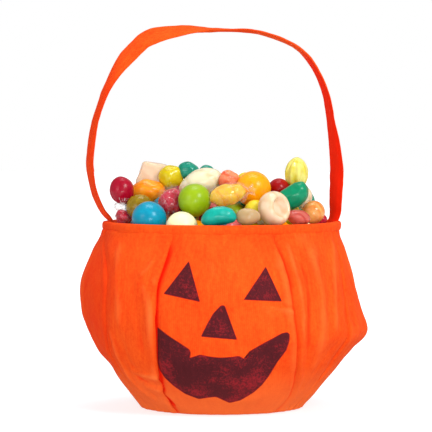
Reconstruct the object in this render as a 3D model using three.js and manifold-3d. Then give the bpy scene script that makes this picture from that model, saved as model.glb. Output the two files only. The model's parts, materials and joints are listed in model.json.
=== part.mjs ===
// Pumpkin treat bag: a soft cloth bag sewn from eight bulging gores on a round base, with a hooped hem
// round its mouth, a twisted strap handle, a printed face and a heap of sweets.
// Millimetres, +Z up, the face looks along -Y, and the origin is the centre of the base.

import * as THREE from "three";
import Module from "manifold-3d";
import { mergeVertices } from "three/addons/utils/BufferGeometryUtils.js";

const wasm = await Module();
wasm.setup();

// Bag
const rimTop = 131;
const rimRadius = 83;
const bellyRadius = 100;
const baseRadius = 56;
const cloth = 1.6;
const pleatDepth = 5.5;
const pleatSharpness = 2.4;
const seamAllowance = 5;
const hiddenAllowance = 0.5;
const allowanceFade = 0.25;
const sewnGap = 0.3;

// Hem and hoop
const hemHeight = 9;
const hemCloth = 1.2;
const hemRound = 0.8;
const hoopThickness = 2.4;
const hemClearance = 0.5;
const neckBelowHem = 1;

// Base panel
const baseCloth = 2;
const baseRound = 1;
const baseLip = 4;

// Strap handle
const handleRise = 132;
const strapWidth = 16;
const strapThickness = 2;
const strapEdgeRound = 0.6;
const strapSewnLength = 20;
const strapClearance = 0.3;
const pivotClearance = 1;

// Printed face
const printGap = 0.3;
const printThickness = 0.5;
const printEdge = 0.04;

// Sweets: the heap's rise over the rim, and how far below the rim it meets the cloth and starts to narrow
const heapRise = 26;
const heapFootDrop = 18;
const shoulderDrop = 27;
const heapFrontPower = 1.2;
const heapSidePower = 3;
const heapBackSteepness = 1.3;
const heapCover = 6;
const packedSweet = 9.5;
const packedCount = 58;
const packedRise = 0;
const restingGap = 0.4;
const fillGap = 0.8;
const smallSweet = 7;

// Seam angles in degrees, from the front towards the right: at the rim, at the belly and at the base.
const seams = [
  { rim: -23.5, belly: -27, base: -33 },
  { rim: 26.5, belly: 31.5, base: 41 },
  { rim: 68, belly: 60, base: 62 },
  { rim: 112, belly: 120, base: 118 },
  { rim: 153.5, belly: 148.5, base: 141 },
  { rim: 203.5, belly: 207, base: 213 },
  { rim: 252, belly: 236, base: 236 },
  { rim: 288, belly: 304, base: 303 },
];
const panelNames = [
  "front_panel",
  "front_right_panel",
  "right_panel",
  "back_right_panel",
  "back_panel",
  "back_left_panel",
  "left_panel",
  "front_left_panel",
];

// How the bag's outline changes round it: height of the belly, and roundness below and above it.
const outlineFront = { belly: 72, below: 1.7, above: 1.4 };
const outlineRight = { belly: 57, below: 1.18, above: 1.12 };
const outlineLeft = { belly: 82, below: 1.85, above: 1.5 };

const columns = 6;
const rowsBelow = 5;
const rowsAbove = 5;
const roundSteps = 36;

// Sizes that follow from those above
const hemInside = rimRadius - hemCloth;
const neckRadius = hemInside - hemClearance;
const hemInnerWall = hemInside - hoopThickness - 2 * hemClearance;
const mouthRadius = hemInnerWall - hemCloth;
const panelFoot = baseCloth + sewnGap;
const panelTop = rimTop - hemCloth - 2 * sewnGap - hoopThickness;
const neckHeight = rimTop - hemHeight - neckBelowHem;
const strapHalf = strapWidth / 2;
const pivotHeight = rimTop + strapHalf + pivotClearance;
const handleTop = rimTop + handleRise;
const tabOutside = Math.sqrt(mouthRadius ** 2 - strapHalf ** 2) - strapClearance;
const tabInside = tabOutside - strapThickness;
const strapInside = tabOutside + strapClearance;
const strapMiddle = strapInside + strapThickness / 2;
const fillNeck = tabInside - fillGap;

const orangeCloth = new THREE.MeshStandardMaterial({ color: 0xf05a1e, roughness: 0.95, metalness: 0 });
const maroonPrint = new THREE.MeshStandardMaterial({ color: 0x5a1e24, roughness: 0.8, metalness: 0 });
const clearPlastic = new THREE.MeshStandardMaterial({ color: 0xe8e8e4, roughness: 0.4, metalness: 0 });

// Shared geometry helpers

function lerp(a, b, t) {
  return a + (b - a) * t;
}

function radians(degrees) {
  return (degrees * Math.PI) / 180;
}

function around(angle, radius, height, sideways = 0) {
  const x = radius * Math.sin(angle) + sideways * Math.cos(angle);
  const y = -radius * Math.cos(angle) + sideways * Math.sin(angle);
  return new THREE.Vector3(x, y, height);
}

function signedVolume(points, faces) {
  let sum = 0;
  for (const [a, b, c] of faces) {
    sum += points[a].dot(new THREE.Vector3().crossVectors(points[b], points[c]));
  }
  return sum / 6;
}

function closedGeometry(points, faces) {
  const outward = signedVolume(points, faces) > 0;
  const index = faces.flatMap(([a, b, c]) => (outward ? [a, b, c] : [a, c, b]));
  const geometry = new THREE.BufferGeometry();
  geometry.setAttribute("position", new THREE.Float32BufferAttribute(points.flatMap((p) => p.toArray()), 3));
  geometry.setIndex(index);
  geometry.computeVertexNormals();
  return geometry;
}

// An end ring closed by a fan from a point in its middle.
function fanCap(ring, start, points) {
  const middle = ring.reduce((sum, p) => sum.add(p), new THREE.Vector3()).divideScalar(ring.length);
  points.push(middle);
  return ring.map((_, i) => [start + i, start + ((i + 1) % ring.length), points.length - 1]);
}

// An end ring closed between its own corners, which a hooked section needs.
function flatCap(ring, start) {
  const outline = ring.map((p) => new THREE.Vector2(p.x, p.y));
  const clockwise = THREE.ShapeUtils.isClockWise(outline);
  return THREE.ShapeUtils.triangulateShape(outline, []).map(([a, b, c]) => {
    return clockwise ? [start + a, start + c, start + b] : [start + a, start + b, start + c];
  });
}

// A closed body through rings of equal length.
function loft(rings, cap = fanCap) {
  const points = rings.flat();
  const size = rings[0].length;
  const last = points.length - size;
  const faces = [];
  for (let low = 0; low < last; low += size) {
    const high = low + size;
    for (let i = 0; i < size; i += 1) {
      const next = (i + 1) % size;
      faces.push([low + i, low + next, high + next], [low + i, high + next, high + i]);
    }
  }
  faces.push(...cap(rings[0], 0, points).map(([a, b, c]) => [a, c, b]));
  faces.push(...cap(rings.at(-1), last, points));
  return closedGeometry(points, faces);
}

function lathe(profile, steps) {
  const geometry = new THREE.LatheGeometry(profile.map(([r, z]) => new THREE.Vector2(r, z)), steps);
  return geometry.rotateX(Math.PI / 2);
}

function toSolid(geometry) {
  const bare = geometry.clone();
  bare.deleteAttribute("normal");
  bare.deleteAttribute("uv");
  const merged = mergeVertices(bare, 1e-4);
  const vertProperties = new Float32Array(merged.getAttribute("position").array);
  const triVerts = new Uint32Array(merged.getIndex().array);
  return new wasm.Manifold(new wasm.Mesh({ numProp: 3, vertProperties, triVerts }));
}

function toGeometry(solid) {
  const mesh = solid.getMesh();
  const geometry = new THREE.BufferGeometry();
  geometry.setAttribute("position", new THREE.Float32BufferAttribute(mesh.vertProperties, 3));
  geometry.setIndex([...mesh.triVerts]);
  geometry.computeVertexNormals();
  return geometry;
}

function named(name, geometry, material) {
  const mesh = new THREE.Mesh(geometry, material);
  mesh.name = name;
  return mesh;
}

// The bag's outer surface. A level runs from -1 at the base through 0 at the belly to 1 at the neck.

function outlineAt(angle) {
  const side = Math.sin(angle);
  const target = side > 0 ? outlineRight : outlineLeft;
  const weight = side * side;
  return {
    belly: lerp(outlineFront.belly, target.belly, weight),
    below: lerp(outlineFront.below, target.below, weight),
    above: lerp(outlineFront.above, target.above, weight),
  };
}

function heightAt(angle, level) {
  const { belly } = outlineAt(angle);
  return level < 0 ? lerp(belly, panelFoot, -level) : lerp(belly, neckHeight, level);
}

function crestRadius(angle, level) {
  const { below, above } = outlineAt(angle);
  if (level < 0) {
    return lerp(bellyRadius, baseRadius, (-level) ** below);
  }
  return lerp(bellyRadius, neckRadius, level ** above);
}

function seamAngle(seam, level) {
  const end = level < 0 ? seam.base : seam.rim;
  return radians(lerp(seam.belly, end, Math.abs(level)));
}

function pleatAt(level) {
  return pleatDepth * (1 - level * level);
}

// A point of the surface: across runs from 0 at a panel's left seam to 1 at its right seam.
function panelPoint(left, right, across, level, inward = 0, sideways = 0) {
  const angle = lerp(seamAngle(left, level), seamAngle(right, level), across);
  const dip = pleatAt(level) * Math.abs(2 * across - 1) ** pleatSharpness;
  return around(angle, crestRadius(angle, level) - dip - inward, heightAt(angle, level), sideways);
}

// The seam allowances are cut away towards the hem and the base, where they are sewn in.
function allowanceAt(level) {
  const fade = Math.min(1, (1 - Math.abs(level)) / allowanceFade);
  return lerp(hiddenAllowance, seamAllowance, fade);
}

function panelPair(index) {
  const left = seams[index];
  const next = seams[(index + 1) % seams.length];
  const turn = index + 1 === seams.length ? 360 : 0;
  return [left, { rim: next.rim + turn, belly: next.belly + turn, base: next.base + turn }];
}

function levelList() {
  const below = Array.from({ length: rowsBelow }, (_, i) => -Math.cos((i / rowsBelow) * (Math.PI / 2)));
  const above = Array.from({ length: rowsAbove + 1 }, (_, i) => Math.sin((i / rowsAbove) * (Math.PI / 2)));
  return [...below, ...above];
}

// One gore: cloth of one thickness, with both edges turned in along the seams as sewn allowances.
function panelRing(left, right, level) {
  const half = sewnGap / 2;
  const fold = half + cloth;
  const allowance = allowanceAt(level);
  const ring = [];
  for (let i = 0; i <= columns; i += 1) {
    const sideways = i === 0 ? half : i === columns ? -half : 0;
    ring.push(panelPoint(left, right, i / columns, level, 0, sideways));
  }
  ring.push(panelPoint(left, right, 1, level, cloth + allowance, -half));
  ring.push(panelPoint(left, right, 1, level, cloth + allowance, -fold));
  ring.push(panelPoint(left, right, 1, level, cloth, -fold));
  for (let i = columns - 1; i > 0; i -= 1) {
    ring.push(panelPoint(left, right, i / columns, level, cloth));
  }
  ring.push(panelPoint(left, right, 0, level, cloth, fold));
  ring.push(panelPoint(left, right, 0, level, cloth + allowance, fold));
  ring.push(panelPoint(left, right, 0, level, cloth + allowance, half));
  return ring;
}

function panelGeometry(index) {
  const [left, right] = panelPair(index);
  const rings = levelList().map((level) => panelRing(left, right, level));
  const hem = panelRing(left, right, 1);
  hem.forEach((point) => point.setZ(panelTop));
  rings.push(hem);
  return loft(rings, flatCap);
}

function basePanelGeometry() {
  const lipOutside = baseRadius - cloth - hiddenAllowance - sewnGap;
  const lipInside = lipOutside - cloth;
  return lathe(
    [
      [0, 0],
      [baseRadius - baseRound, 0],
      [baseRadius, baseRound],
      [baseRadius, baseCloth],
      [lipOutside, baseCloth],
      [lipOutside, baseCloth + baseLip],
      [lipInside, baseCloth + baseLip],
      [lipInside, baseCloth],
      [0, baseCloth],
    ],
    roundSteps
  );
}

// The hem is a folded band, open below, over the tops of the gores and the hoop.
function rimBandGeometry() {
  const bottom = rimTop - hemHeight;
  return lathe(
    [
      [hemInside, bottom],
      [rimRadius - hemRound / 2, bottom],
      [rimRadius, bottom + hemRound],
      [rimRadius, rimTop - hemRound],
      [rimRadius - hemRound, rimTop],
      [mouthRadius + hemRound, rimTop],
      [mouthRadius, rimTop - hemRound],
      [mouthRadius, bottom],
      [hemInnerWall, bottom],
      [hemInnerWall, rimTop - hemCloth],
      [hemInside, rimTop - hemCloth],
      [hemInside, bottom],
    ],
    roundSteps
  );
}

function rimHoopGeometry() {
  const radius = hoopThickness / 2;
  const middle = (hemInside + hemInnerWall) / 2;
  const height = rimTop - hemCloth - sewnGap - radius;
  const sides = 6;
  const profile = [];
  for (let i = 0; i <= sides; i += 1) {
    const turn = ((i % sides) / sides) * 2 * Math.PI;
    profile.push([middle + radius * Math.cos(turn), height + radius * Math.sin(turn)]);
  }
  return lathe(profile, roundSteps);
}

// Strap handle. Its middle line stands over the bag, and bows out further on the left than on the right.
// Each point is its place sideways, and its height above the rim as a share of the handle's rise.

const strapArch = [
  [-89, 0.197],
  [-92, 0.356],
  [-88.5, 0.508],
  [-80, 0.712],
  [-64.5, 0.864],
  [-47, 0.977],
  [-29, 1],
  [-1, 1],
  [28.6, 0.989],
  [56.4, 0.891],
  [72, 0.697],
  [77.5, 0.5],
  [80.5, 0.311],
];
const strapSteps = 32;

// The strap is edge-on where the turn is 90 degrees, which it is at both ends. It rolls its face outward
// at these places along it.
const strapRoll = 76;
const strapTurns = [
  { at: 0.16, spread: 0.06, roll: -12 },
  { at: 0.41, spread: 0.065, roll: -34 },
  { at: 0.88, spread: 0.06, roll: -20 },
];
const strapEaseShare = 0.06;

function strapCurve() {
  const arch = strapArch.map(([x, share]) => new THREE.Vector3(x, 0, rimTop + share * handleRise));
  const start = new THREE.Vector3(-strapMiddle, 0, pivotHeight + strapHalf);
  const end = new THREE.Vector3(strapMiddle, 0, pivotHeight + strapHalf);
  return new THREE.CatmullRomCurve3([start, ...arch, end], false, "catmullrom", 0.5);
}

function strapTurn(along) {
  const ease = Math.min(1, along / strapEaseShare, (1 - along) / strapEaseShare);
  let turn = strapRoll;
  for (const { at, spread, roll } of strapTurns) {
    turn += roll * Math.exp(-(((along - at) / spread) ** 2));
  }
  return radians(lerp(90, turn, ease));
}

function strapSection(centre, tangent, turn, width) {
  const across = new THREE.Vector3(0, 1, 0);
  const outward = new THREE.Vector3().crossVectors(tangent, across).normalize();
  const wide = across.clone().multiplyScalar(Math.sin(turn)).addScaledVector(outward, Math.cos(turn));
  const thick = new THREE.Vector3().crossVectors(tangent, wide).normalize();
  const edge = strapEdgeRound;
  const w = width / 2;
  const t = strapThickness / 2;
  const corners = [
    [w, t - edge],
    [w - edge, t],
    [-w + edge, t],
    [-w, t - edge],
    [-w, edge - t],
    [-w + edge, -t],
    [w - edge, -t],
    [w, edge - t],
  ];
  return corners.map(([a, b]) => centre.clone().addScaledVector(wide, a).addScaledVector(thick, b));
}

// The round end lies flat beside the sewn tab and turns about the pivot.
function strapEnd(side) {
  const rings = [];
  for (const share of [-0.985, -0.9, -0.7, -0.35, 0, 0.6]) {
    const centre = new THREE.Vector3(side * strapMiddle, 0, pivotHeight + share * strapHalf);
    const width = share < 0 ? strapWidth * Math.sqrt(1 - share * share) : strapWidth;
    rings.push({ centre, width });
  }
  return rings;
}

function strapGeometry() {
  const up = new THREE.Vector3(0, 0, 1);
  const down = new THREE.Vector3(0, 0, -1);
  const curve = strapCurve();
  const rings = strapEnd(-1).map(({ centre, width }) => strapSection(centre, up, Math.PI / 2, width));
  for (let i = 0; i <= strapSteps; i += 1) {
    const along = i / strapSteps;
    const tangent = i === 0 ? up : i === strapSteps ? down : curve.getTangentAt(along);
    rings.push(strapSection(curve.getPointAt(along), tangent, strapTurn(along), strapWidth));
  }
  for (const { centre, width } of strapEnd(1).reverse()) {
    rings.push(strapSection(centre, down, Math.PI / 2, width));
  }
  return loft(rings);
}

// The strap's sewn end: a flat tab inside the hem, round at the top where the strap swings beside it.
function strapTabGeometry(side) {
  const outline = new THREE.Shape();
  const foot = rimTop - strapSewnLength;
  outline.moveTo(-strapHalf, foot);
  outline.lineTo(strapHalf, foot);
  outline.lineTo(strapHalf, pivotHeight);
  outline.absarc(0, pivotHeight, strapHalf, 0, Math.PI, false);
  outline.lineTo(-strapHalf, foot);
  const options = { depth: strapThickness, bevelEnabled: false, curveSegments: 8 };
  const geometry = new THREE.ExtrudeGeometry(outline, options);
  geometry.rotateX(Math.PI / 2);
  geometry.rotateZ(Math.PI / 2);
  return geometry.translate(side > 0 ? tabInside : -tabOutside, 0, 0);
}

// Printed face: each patch is its outline pushed through a thin skin that follows the front gore.

const leftEye = [[-21.9, 106.9], [-37.8, 86.5], [-14.9, 81.4]];
const rightEye = [[29.4, 103], [15.6, 82.1], [39.6, 81.1]];
const noseOutline = [[0.4, 78.4], [2, 78], [9.3, 56], [-13, 57.9], [-1.2, 77.6]];
const mouthOutline = [
  [-43, 62.5],
  [-26.7, 51.7],
  [-21.3, 47.6],
  [-21.3, 42.4],
  [-14.6, 44.9],
  [-1.2, 42.9],
  [11.4, 43.8],
  [16.4, 41.8],
  [17.8, 46.9],
  [30.3, 53.8],
  [39.8, 58.6],
  [44.4, 58.4],
  [42.6, 47.9],
  [36.9, 39.2],
  [31.7, 29.6],
  [21.5, 18],
  [12.8, 12.5],
  [5.3, 10.4],
  [-3.7, 14.9],
  [-15.4, 13],
  [-24.6, 16.4],
  [-37.3, 27.6],
  [-43, 38],
];

// The skin has the gore's own columns and levels, so that its facets lie along the gore's. It leaves out
// the edges, the foot and what the hem covers.
function printSkin() {
  const [left, right] = panelPair(0);
  const inner = Array.from({ length: columns - 1 }, (_, i) => (i + 1) / columns);
  const across = [printEdge, ...inner, 1 - printEdge];
  const rings = levelList().slice(1, -2).map((level) => {
    const under = across.map((s) => panelPoint(left, right, s, level, -printGap));
    const over = across.map((s) => panelPoint(left, right, s, level, -printGap - printThickness));
    return [...under, ...over.reverse()];
  });
  return toSolid(loft(rings, flatCap));
}

function printGeometry(skin, outline) {
  const shape = new THREE.Shape(outline.map(([x, z]) => new THREE.Vector2(x, z)));
  const block = new THREE.ExtrudeGeometry(shape, { depth: bellyRadius, bevelEnabled: false });
  block.rotateX(Math.PI / 2);
  return toGeometry(skin.intersect(toSolid(block)));
}

// Sweets. Each kind has its shape about its own middle.

function roundSweet(size) {
  return new THREE.IcosahedronGeometry(1, size > smallSweet ? 2 : 1);
}

function ballKind(radius) {
  return roundSweet(radius).scale(radius, radius, radius);
}

function ovalKind(a, b, c) {
  return roundSweet(a).scale(a, b, c);
}

// A jelly bean: a plump capsule bent along its length.
function beanKind(length, radius, bend) {
  const half = length / 2;
  const geometry = new THREE.IcosahedronGeometry(1, 2);
  const place = geometry.getAttribute("position");
  for (let i = 0; i < place.count; i += 1) {
    const x = place.getX(i);
    const plump = radius * (1 + 0.28 * x * x);
    place.setXYZ(i, x * half, place.getY(i) * plump, place.getZ(i) * plump - bend * x * x);
  }
  return geometry;
}

// A moulded hard sweet: an oval tablet with a round recess in both faces.
function recessedKind(a, b, c) {
  const profile = [
    [0, -0.45],
    [0.4, -0.55],
    [0.58, -0.94],
    [0.72, -0.94],
    [0.92, -0.64],
    [1, 0],
    [0.92, 0.64],
    [0.72, 0.94],
    [0.58, 0.94],
    [0.4, 0.55],
    [0, 0.45],
  ];
  return lathe(profile, 14).scale(a, b, c);
}

// A gumdrop: a blunt cone with a rolled foot and a domed top.
function gumdropKind(radius, height) {
  const half = height / 2;
  const profile = [
    [0, -half],
    [radius * 0.86, -half],
    [radius, -half * 0.72],
    [radius * 0.9, 0],
    [radius * 0.74, half * 0.6],
    [radius * 0.45, half * 0.94],
    [0, half],
  ];
  return lathe(profile, 14);
}

function fluteRing(count, radius, flutes, depth, height) {
  return Array.from({ length: count }, (_, i) => {
    const turn = (i / count) * 2 * Math.PI;
    const r = radius * (1 + depth * Math.cos(flutes * turn));
    return new THREE.Vector3(r * Math.cos(turn), r * Math.sin(turn), height);
  });
}

// A lemon drop: pointed at both ends, with flutes along it.
function lemonKind(radius, length, flutes) {
  const rows = 8;
  const sections = Array.from({ length: rows }, (_, row) => {
    const turn = ((row + 0.35) / (rows - 0.3)) * Math.PI;
    const width = radius * Math.sin(turn) ** 1.15;
    return fluteRing(flutes * 2, width, flutes, 0.1, (-Math.cos(turn) * length) / 2);
  });
  return loft(sections);
}

// A sweet in a twisted wrapper: a round middle, two tight necks and two pleated fans.
function wrappedKind(radius, coreLength, tail) {
  const half = coreLength / 2;
  const stations = [
    [-half - tail, tail * 0.62, 0.3],
    [-half - tail * 0.4, tail * 0.4, 0.24],
    [-half - 0.4, radius * 0.26, 0.1],
    [-half * 0.72, radius * 0.78, 0.05],
    [-half * 0.3, radius * 0.99, 0],
    [half * 0.3, radius * 0.99, 0],
    [half * 0.72, radius * 0.78, 0.05],
    [half + 0.4, radius * 0.26, 0.1],
    [half + tail * 0.4, tail * 0.4, 0.24],
    [half + tail, tail * 0.62, 0.3],
  ];
  return loft(stations.map(([along, width, depth]) => fluteRing(14, width, 7, depth, along)));
}

const sweetColours = {
  red: 0xc2102c,
  blue: 0x00a8d8,
  cream: 0xf0e2b0,
  teal: 0x109a88,
  tan: 0xd0ae86,
  ivory: 0xf0d8bc,
  rose: 0xd85a58,
  orange: 0xff9d1c,
  amber: 0xe39a34,
  olive: 0xb08a1c,
  lime: 0x9cba14,
  yellow: 0xf0cf30,
  emerald: 0x0e9c6c,
  lemon: 0xeade78,
  peach: 0xe2bb92,
  salmon: 0xec8a60,
};

// Place is x and y over the bag, and turn is in degrees about x, y and z.
function sweet(name, colour, geometry, place, turn = [0, 0, 0]) {
  const finish = { color: sweetColours[colour], roughness: 0.25, metalness: 0 };
  const mesh = named(name, geometry, new THREE.MeshStandardMaterial(finish));
  mesh.rotation.set(...turn.map(radians));
  mesh.position.set(...place, handleTop);
  return mesh;
}

// The sweets in the order they are poured in.
const sweets = [
  sweet("red_wrapped_sweet", "red", wrappedKind(6, 12, 5), [-68, -17], [70, 10, 0]),
  sweet("blue_gumball", "blue", ballKind(11.9), [-50.5, -44]),
  sweet("cream_gumball", "cream", ballKind(10.7), [-27, -64]),
  sweet("teal_jelly_bean", "teal", beanKind(24, 6.2, 2), [-2.3, -71], [0, -8, 4]),
  sweet("tan_fruit_drop", "tan", ovalKind(8.4, 6.5, 5.8), [18.5, -70]),
  sweet("ivory_hard_sweet", "ivory", recessedKind(10.8, 11.6, 6), [37.5, -60], [68, -8, 28]),
  sweet("rose_streaked_sweet", "rose", ovalKind(8.8, 7, 5.4), [56, -48], [0, 12, 30]),
  sweet("amber_ball", "amber", ballKind(8), [65, -26]),
  sweet("small_red_drop", "red", ballKind(4), [69.5, -10]),
  sweet("emerald_gumball", "emerald", ballKind(9.5), [57, 28]),
  sweet("lemon_gumball", "lemon", ballKind(11), [42, 46]),
  sweet("red_gumball", "red", ballKind(11.5), [24, 60]),
  sweet("amber_hard_sweet", "amber", recessedKind(12, 11, 6.5), [-1, 65], [38, 0, 0]),
  sweet("lime_jelly_bean", "lime", beanKind(25, 6.6, 2.4), [-23, 64], [10, 0, -20]),
  sweet("salmon_gumball", "salmon", ballKind(11.5), [-45, 48]),
  sweet("blue_back_gumball", "blue", ballKind(10), [-59, 31]),
  sweet("lime_gumball", "lime", ballKind(11.3), [-19.5, -42.5]),
  sweet("yellow_ball", "yellow", ballKind(8.4), [19.5, -43.5]),
  sweet("rose_wrapped_sweet", "red", wrappedKind(7, 15, 4.5), [-35, -28], [-50, 0, 12]),
  sweet("yellow_wrapped_sweet", "yellow", wrappedKind(7, 16, 5), [4, -47], [0, 78, 6]),
  sweet("olive_fruit_disc", "olive", ovalKind(8.8, 8.8, 6), [-58.5, -20], [52, -20, 0]),
  sweet("red_ball", "red", ballKind(7.8), [-70, -12]),
  sweet("emerald_jelly_bean", "emerald", beanKind(25, 7, 3), [48, -30], [0, 8, -8]),
  sweet("orange_gumball", "orange", ballKind(12), [22, -28]),
  sweet("peach_wrapped_sweet", "peach", wrappedKind(8, 17, 6), [38, 32], [90, 0, -50]),
  sweet("teal_gumball", "teal", ballKind(10.5), [20, 36]),
  sweet("yellow_gumball", "yellow", ballKind(6.2), [16.5, -8]),
  sweet("rose_jelly_bean", "rose", beanKind(24, 6.8, 2.4), [-27, 36], [0, -12, 30]),
  sweet("orange_fruit_jelly", "amber", ovalKind(10.8, 9, 8), [-49.5, -1], [10, -14, 0]),
  sweet("lime_fruit_drop", "lime", ovalKind(11, 9, 7.5), [-42, 26], [0, -10, 40]),
  sweet("ivory_fruit_oval", "ivory", ovalKind(15.5, 10, 9), [-15.5, -19], [12, -20, 0]),
  sweet("salmon_fruit_drop", "salmon", ovalKind(6.6, 6, 5.6), [5, -26]),
  sweet("dark_red_drop", "red", ballKind(6.4), [39, -13]),
  sweet("amber_fruit_jelly", "amber", ovalKind(12, 9.5, 8), [-2, 40], [0, 8, 20]),
  sweet("ivory_gumball", "cream", ballKind(9), [-2, 18]),
  sweet("yellow_fruit_jelly", "yellow", ovalKind(9, 7.6, 7.2), [-34, 5], [0, -10, 10]),
  sweet("peach_gumdrop", "peach", gumdropKind(8, 17), [-50, 12], [14, 62, 0]),
  sweet("lemon_drop", "lemon", lemonKind(7.2, 21, 7), [53, -10], [8, -14, 0]),
  sweet("teal_fruit_drop", "teal", ovalKind(5.8, 5.4, 4.8), [-20, 4]),
  sweet("small_teal_drop", "teal", ballKind(5), [-9, 10]),
];

// Buried sweets that still bulge out of the heap, with how far their middles stand above it: some chosen
// under the front sweets, and two arcs of them over the back half.
const frontBulges = [
  { place: [-2, -61], radius: 10, rise: 1 },
  { place: [18, -60], radius: 10, rise: -1 },
  { place: [39, -49], radius: 10, rise: 2 },
  { place: [55, -34], radius: 9, rise: 1 },
  { place: [63, -16], radius: 8, rise: -1 },
  { place: [45, -22], radius: 10, rise: -2 },
  { place: [55, -2], radius: 9, rise: 9 },
];
const bulgeArcs = [
  { distance: 57, radius: 10, rise: -4, from: 108, step: 29, count: 6 },
  { distance: 32, radius: 10, rise: -4, from: 105, step: 50, count: 4 },
];

// The rest of the slope is packed with sweets of one size, in the spiral in which a sunflower sets its seeds.
const seedAngle = 137.5;

function packedBulges(bulges) {
  const reach = fillNeck - packedSweet;
  const packed = Array.from({ length: packedCount }, (_, i) => {
    const spot = around(radians(seedAngle * i), reach * Math.sqrt((i + 0.5) / packedCount), 0);
    return { place: [spot.x, spot.y], radius: packedSweet, rise: packedRise - packedSweet };
  });
  return packed.filter(({ place: [x, y] }) => bulges.every((bulge) => {
    return Math.hypot(x - bulge.place[0], y - bulge.place[1]) > bulge.radius;
  }));
}

function allBulges() {
  const back = bulgeArcs.flatMap(({ distance, radius, rise, from, step, count }) => {
    return Array.from({ length: count }, (_, i) => {
      const spot = around(radians(from + step * i), distance, 0);
      return { place: [spot.x, spot.y], radius, rise };
    });
  });
  const bulges = [...frontBulges, ...back];
  return [...bulges, ...packedBulges(bulges)];
}

// The heap is blunter at its two sides than at the front, and steeper at the back.
function heapHeight(x, y) {
  const radius = Math.hypot(x, y > 0 ? y * heapBackSteepness : y);
  const side = radius > 0 ? (x / radius) ** 6 : 0;
  const power = lerp(heapFrontPower, heapSidePower, side);
  const fall = Math.min(1, radius / fillNeck) ** power;
  return lerp(rimTop + heapRise, rimTop - heapFootDrop, fall);
}

function cornersOf(mesh) {
  const bare = mesh.geometry.clone();
  bare.deleteAttribute("normal");
  bare.deleteAttribute("uv");
  const merged = mergeVertices(bare, 1e-4);
  const place = merged.getAttribute("position");
  mesh.updateMatrixWorld();
  return Array.from({ length: place.count }, (_, i) => {
    return new THREE.Vector3().fromBufferAttribute(place, i).applyMatrix4(mesh.matrixWorld);
  });
}

// How far a sweet may reach from the middle: the strap's tabs take some of the mouth's width.
function mouthReach(y) {
  const besideTab = Math.abs(y) < strapHalf + fillGap;
  return (besideTab ? tabInside : mouthRadius) - fillGap;
}

// A sweet beside the hem is pushed in until it clears the hem and the strap's tabs.
function pushInside(mesh) {
  for (let pass = 0; pass < 6; pass += 1) {
    let worst = 0;
    let outward = null;
    for (const corner of cornersOf(mesh)) {
      const away = Math.hypot(corner.x, corner.y);
      if (away - mouthReach(corner.y) > worst) {
        worst = away - mouthReach(corner.y);
        outward = new THREE.Vector3(corner.x / away, corner.y / away, 0);
      }
    }
    if (!outward) {
      return;
    }
    mesh.position.addScaledVector(outward, -worst);
  }
}

function measured(mesh) {
  const corners = cornersOf(mesh);
  return { mesh, corners, bounds: new THREE.Box3().setFromPoints(corners) };
}

// Whether two boxes, or a box and a point, meet when they are seen from above.
function overlapFromAbove(a, b) {
  const apartX = a.min.x > b.max.x || a.max.x < b.min.x;
  const apartY = a.min.y > b.max.y || a.max.y < b.min.y;
  return !apartX && !apartY;
}

function distanceTo(meshes, start, direction) {
  const [hit] = new THREE.Raycaster(start, direction).intersectObjects(meshes, false);
  return hit ? hit.distance : Infinity;
}

// How far a sweet can fall, from its own corners down to what is below and from the corners below up to it.
function fallOf(falling, poured) {
  const down = new THREE.Vector3(0, 0, -1);
  const up = new THREE.Vector3(0, 0, 1);
  const near = poured.filter((piece) => overlapFromAbove(piece.bounds, falling.bounds));
  const meshes = near.map((piece) => piece.mesh);
  let fall = Infinity;
  for (const corner of falling.corners) {
    fall = Math.min(fall, distanceTo(meshes, corner, down));
  }
  for (const corner of near.flatMap((piece) => piece.corners)) {
    if (overlapFromAbove({ min: corner, max: corner }, falling.bounds)) {
      fall = Math.min(fall, distanceTo([falling.mesh], corner, up));
    }
  }
  return fall;
}

function pourSweets(heap) {
  const poured = [measured(heap)];
  for (const mesh of sweets) {
    pushInside(mesh);
    mesh.position.z -= fallOf(measured(mesh), poured) - restingGap;
    poured.push(measured(mesh));
  }
  return sweets;
}

// One solid stands for the sweets buried in the bag: it follows the gores inside, with a groove for each
// pair of seam allowances, narrows through the mouth and ends in the heap. The groove is a notch, so its
// middle goes deeper than the allowances, which stand a little to either side of it.
const grooveShare = 0.6;
const shoulderLevel = 0.8;

function buriedRing(level) {
  const ring = [];
  const groove = (seamAllowance + fillGap) / grooveShare;
  seams.forEach((_, index) => {
    const [left, right] = panelPair(index);
    for (let i = 0; i < columns; i += 1) {
      const inward = cloth + fillGap + (i === 0 ? groove : 0);
      ring.push(panelPoint(left, right, i / columns, level, inward));
    }
  });
  return ring;
}

function narrowed(ring, reach) {
  return ring.map((point) => {
    const radius = Math.hypot(point.x, point.y);
    const scale = Math.min(1, reach / radius);
    return new THREE.Vector3(point.x * scale, point.y * scale, point.z);
  });
}

// The rings inside the gores, from just above the base's lip to where the fill narrows.
function bodyRings() {
  const foot = baseCloth + baseLip + fillGap;
  const rings = levelList().slice(1, -3).map((level) => buriedRing(level));
  rings[0].forEach((point) => point.setZ(Math.max(point.z, foot)));
  return rings;
}

function heapRings(shoulder) {
  return [1, 0.88, 0.74, 0.6, 0.45, 0.3, 0.15].map((share) => {
    return shoulder.map((point) => {
      const spot = around(Math.atan2(point.x, -point.y), fillNeck * share, 0);
      return spot.setZ(heapHeight(spot.x, spot.y) - heapCover);
    });
  });
}

function bulgeSolid({ place, radius, rise }) {
  const inside = Math.min(1, (fillNeck - radius) / Math.hypot(...place));
  const [x, y] = place.map((value) => value * inside);
  const ball = new THREE.IcosahedronGeometry(radius, 1);
  return toSolid(ball.translate(x, y, heapHeight(x, y) + rise));
}

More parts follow.
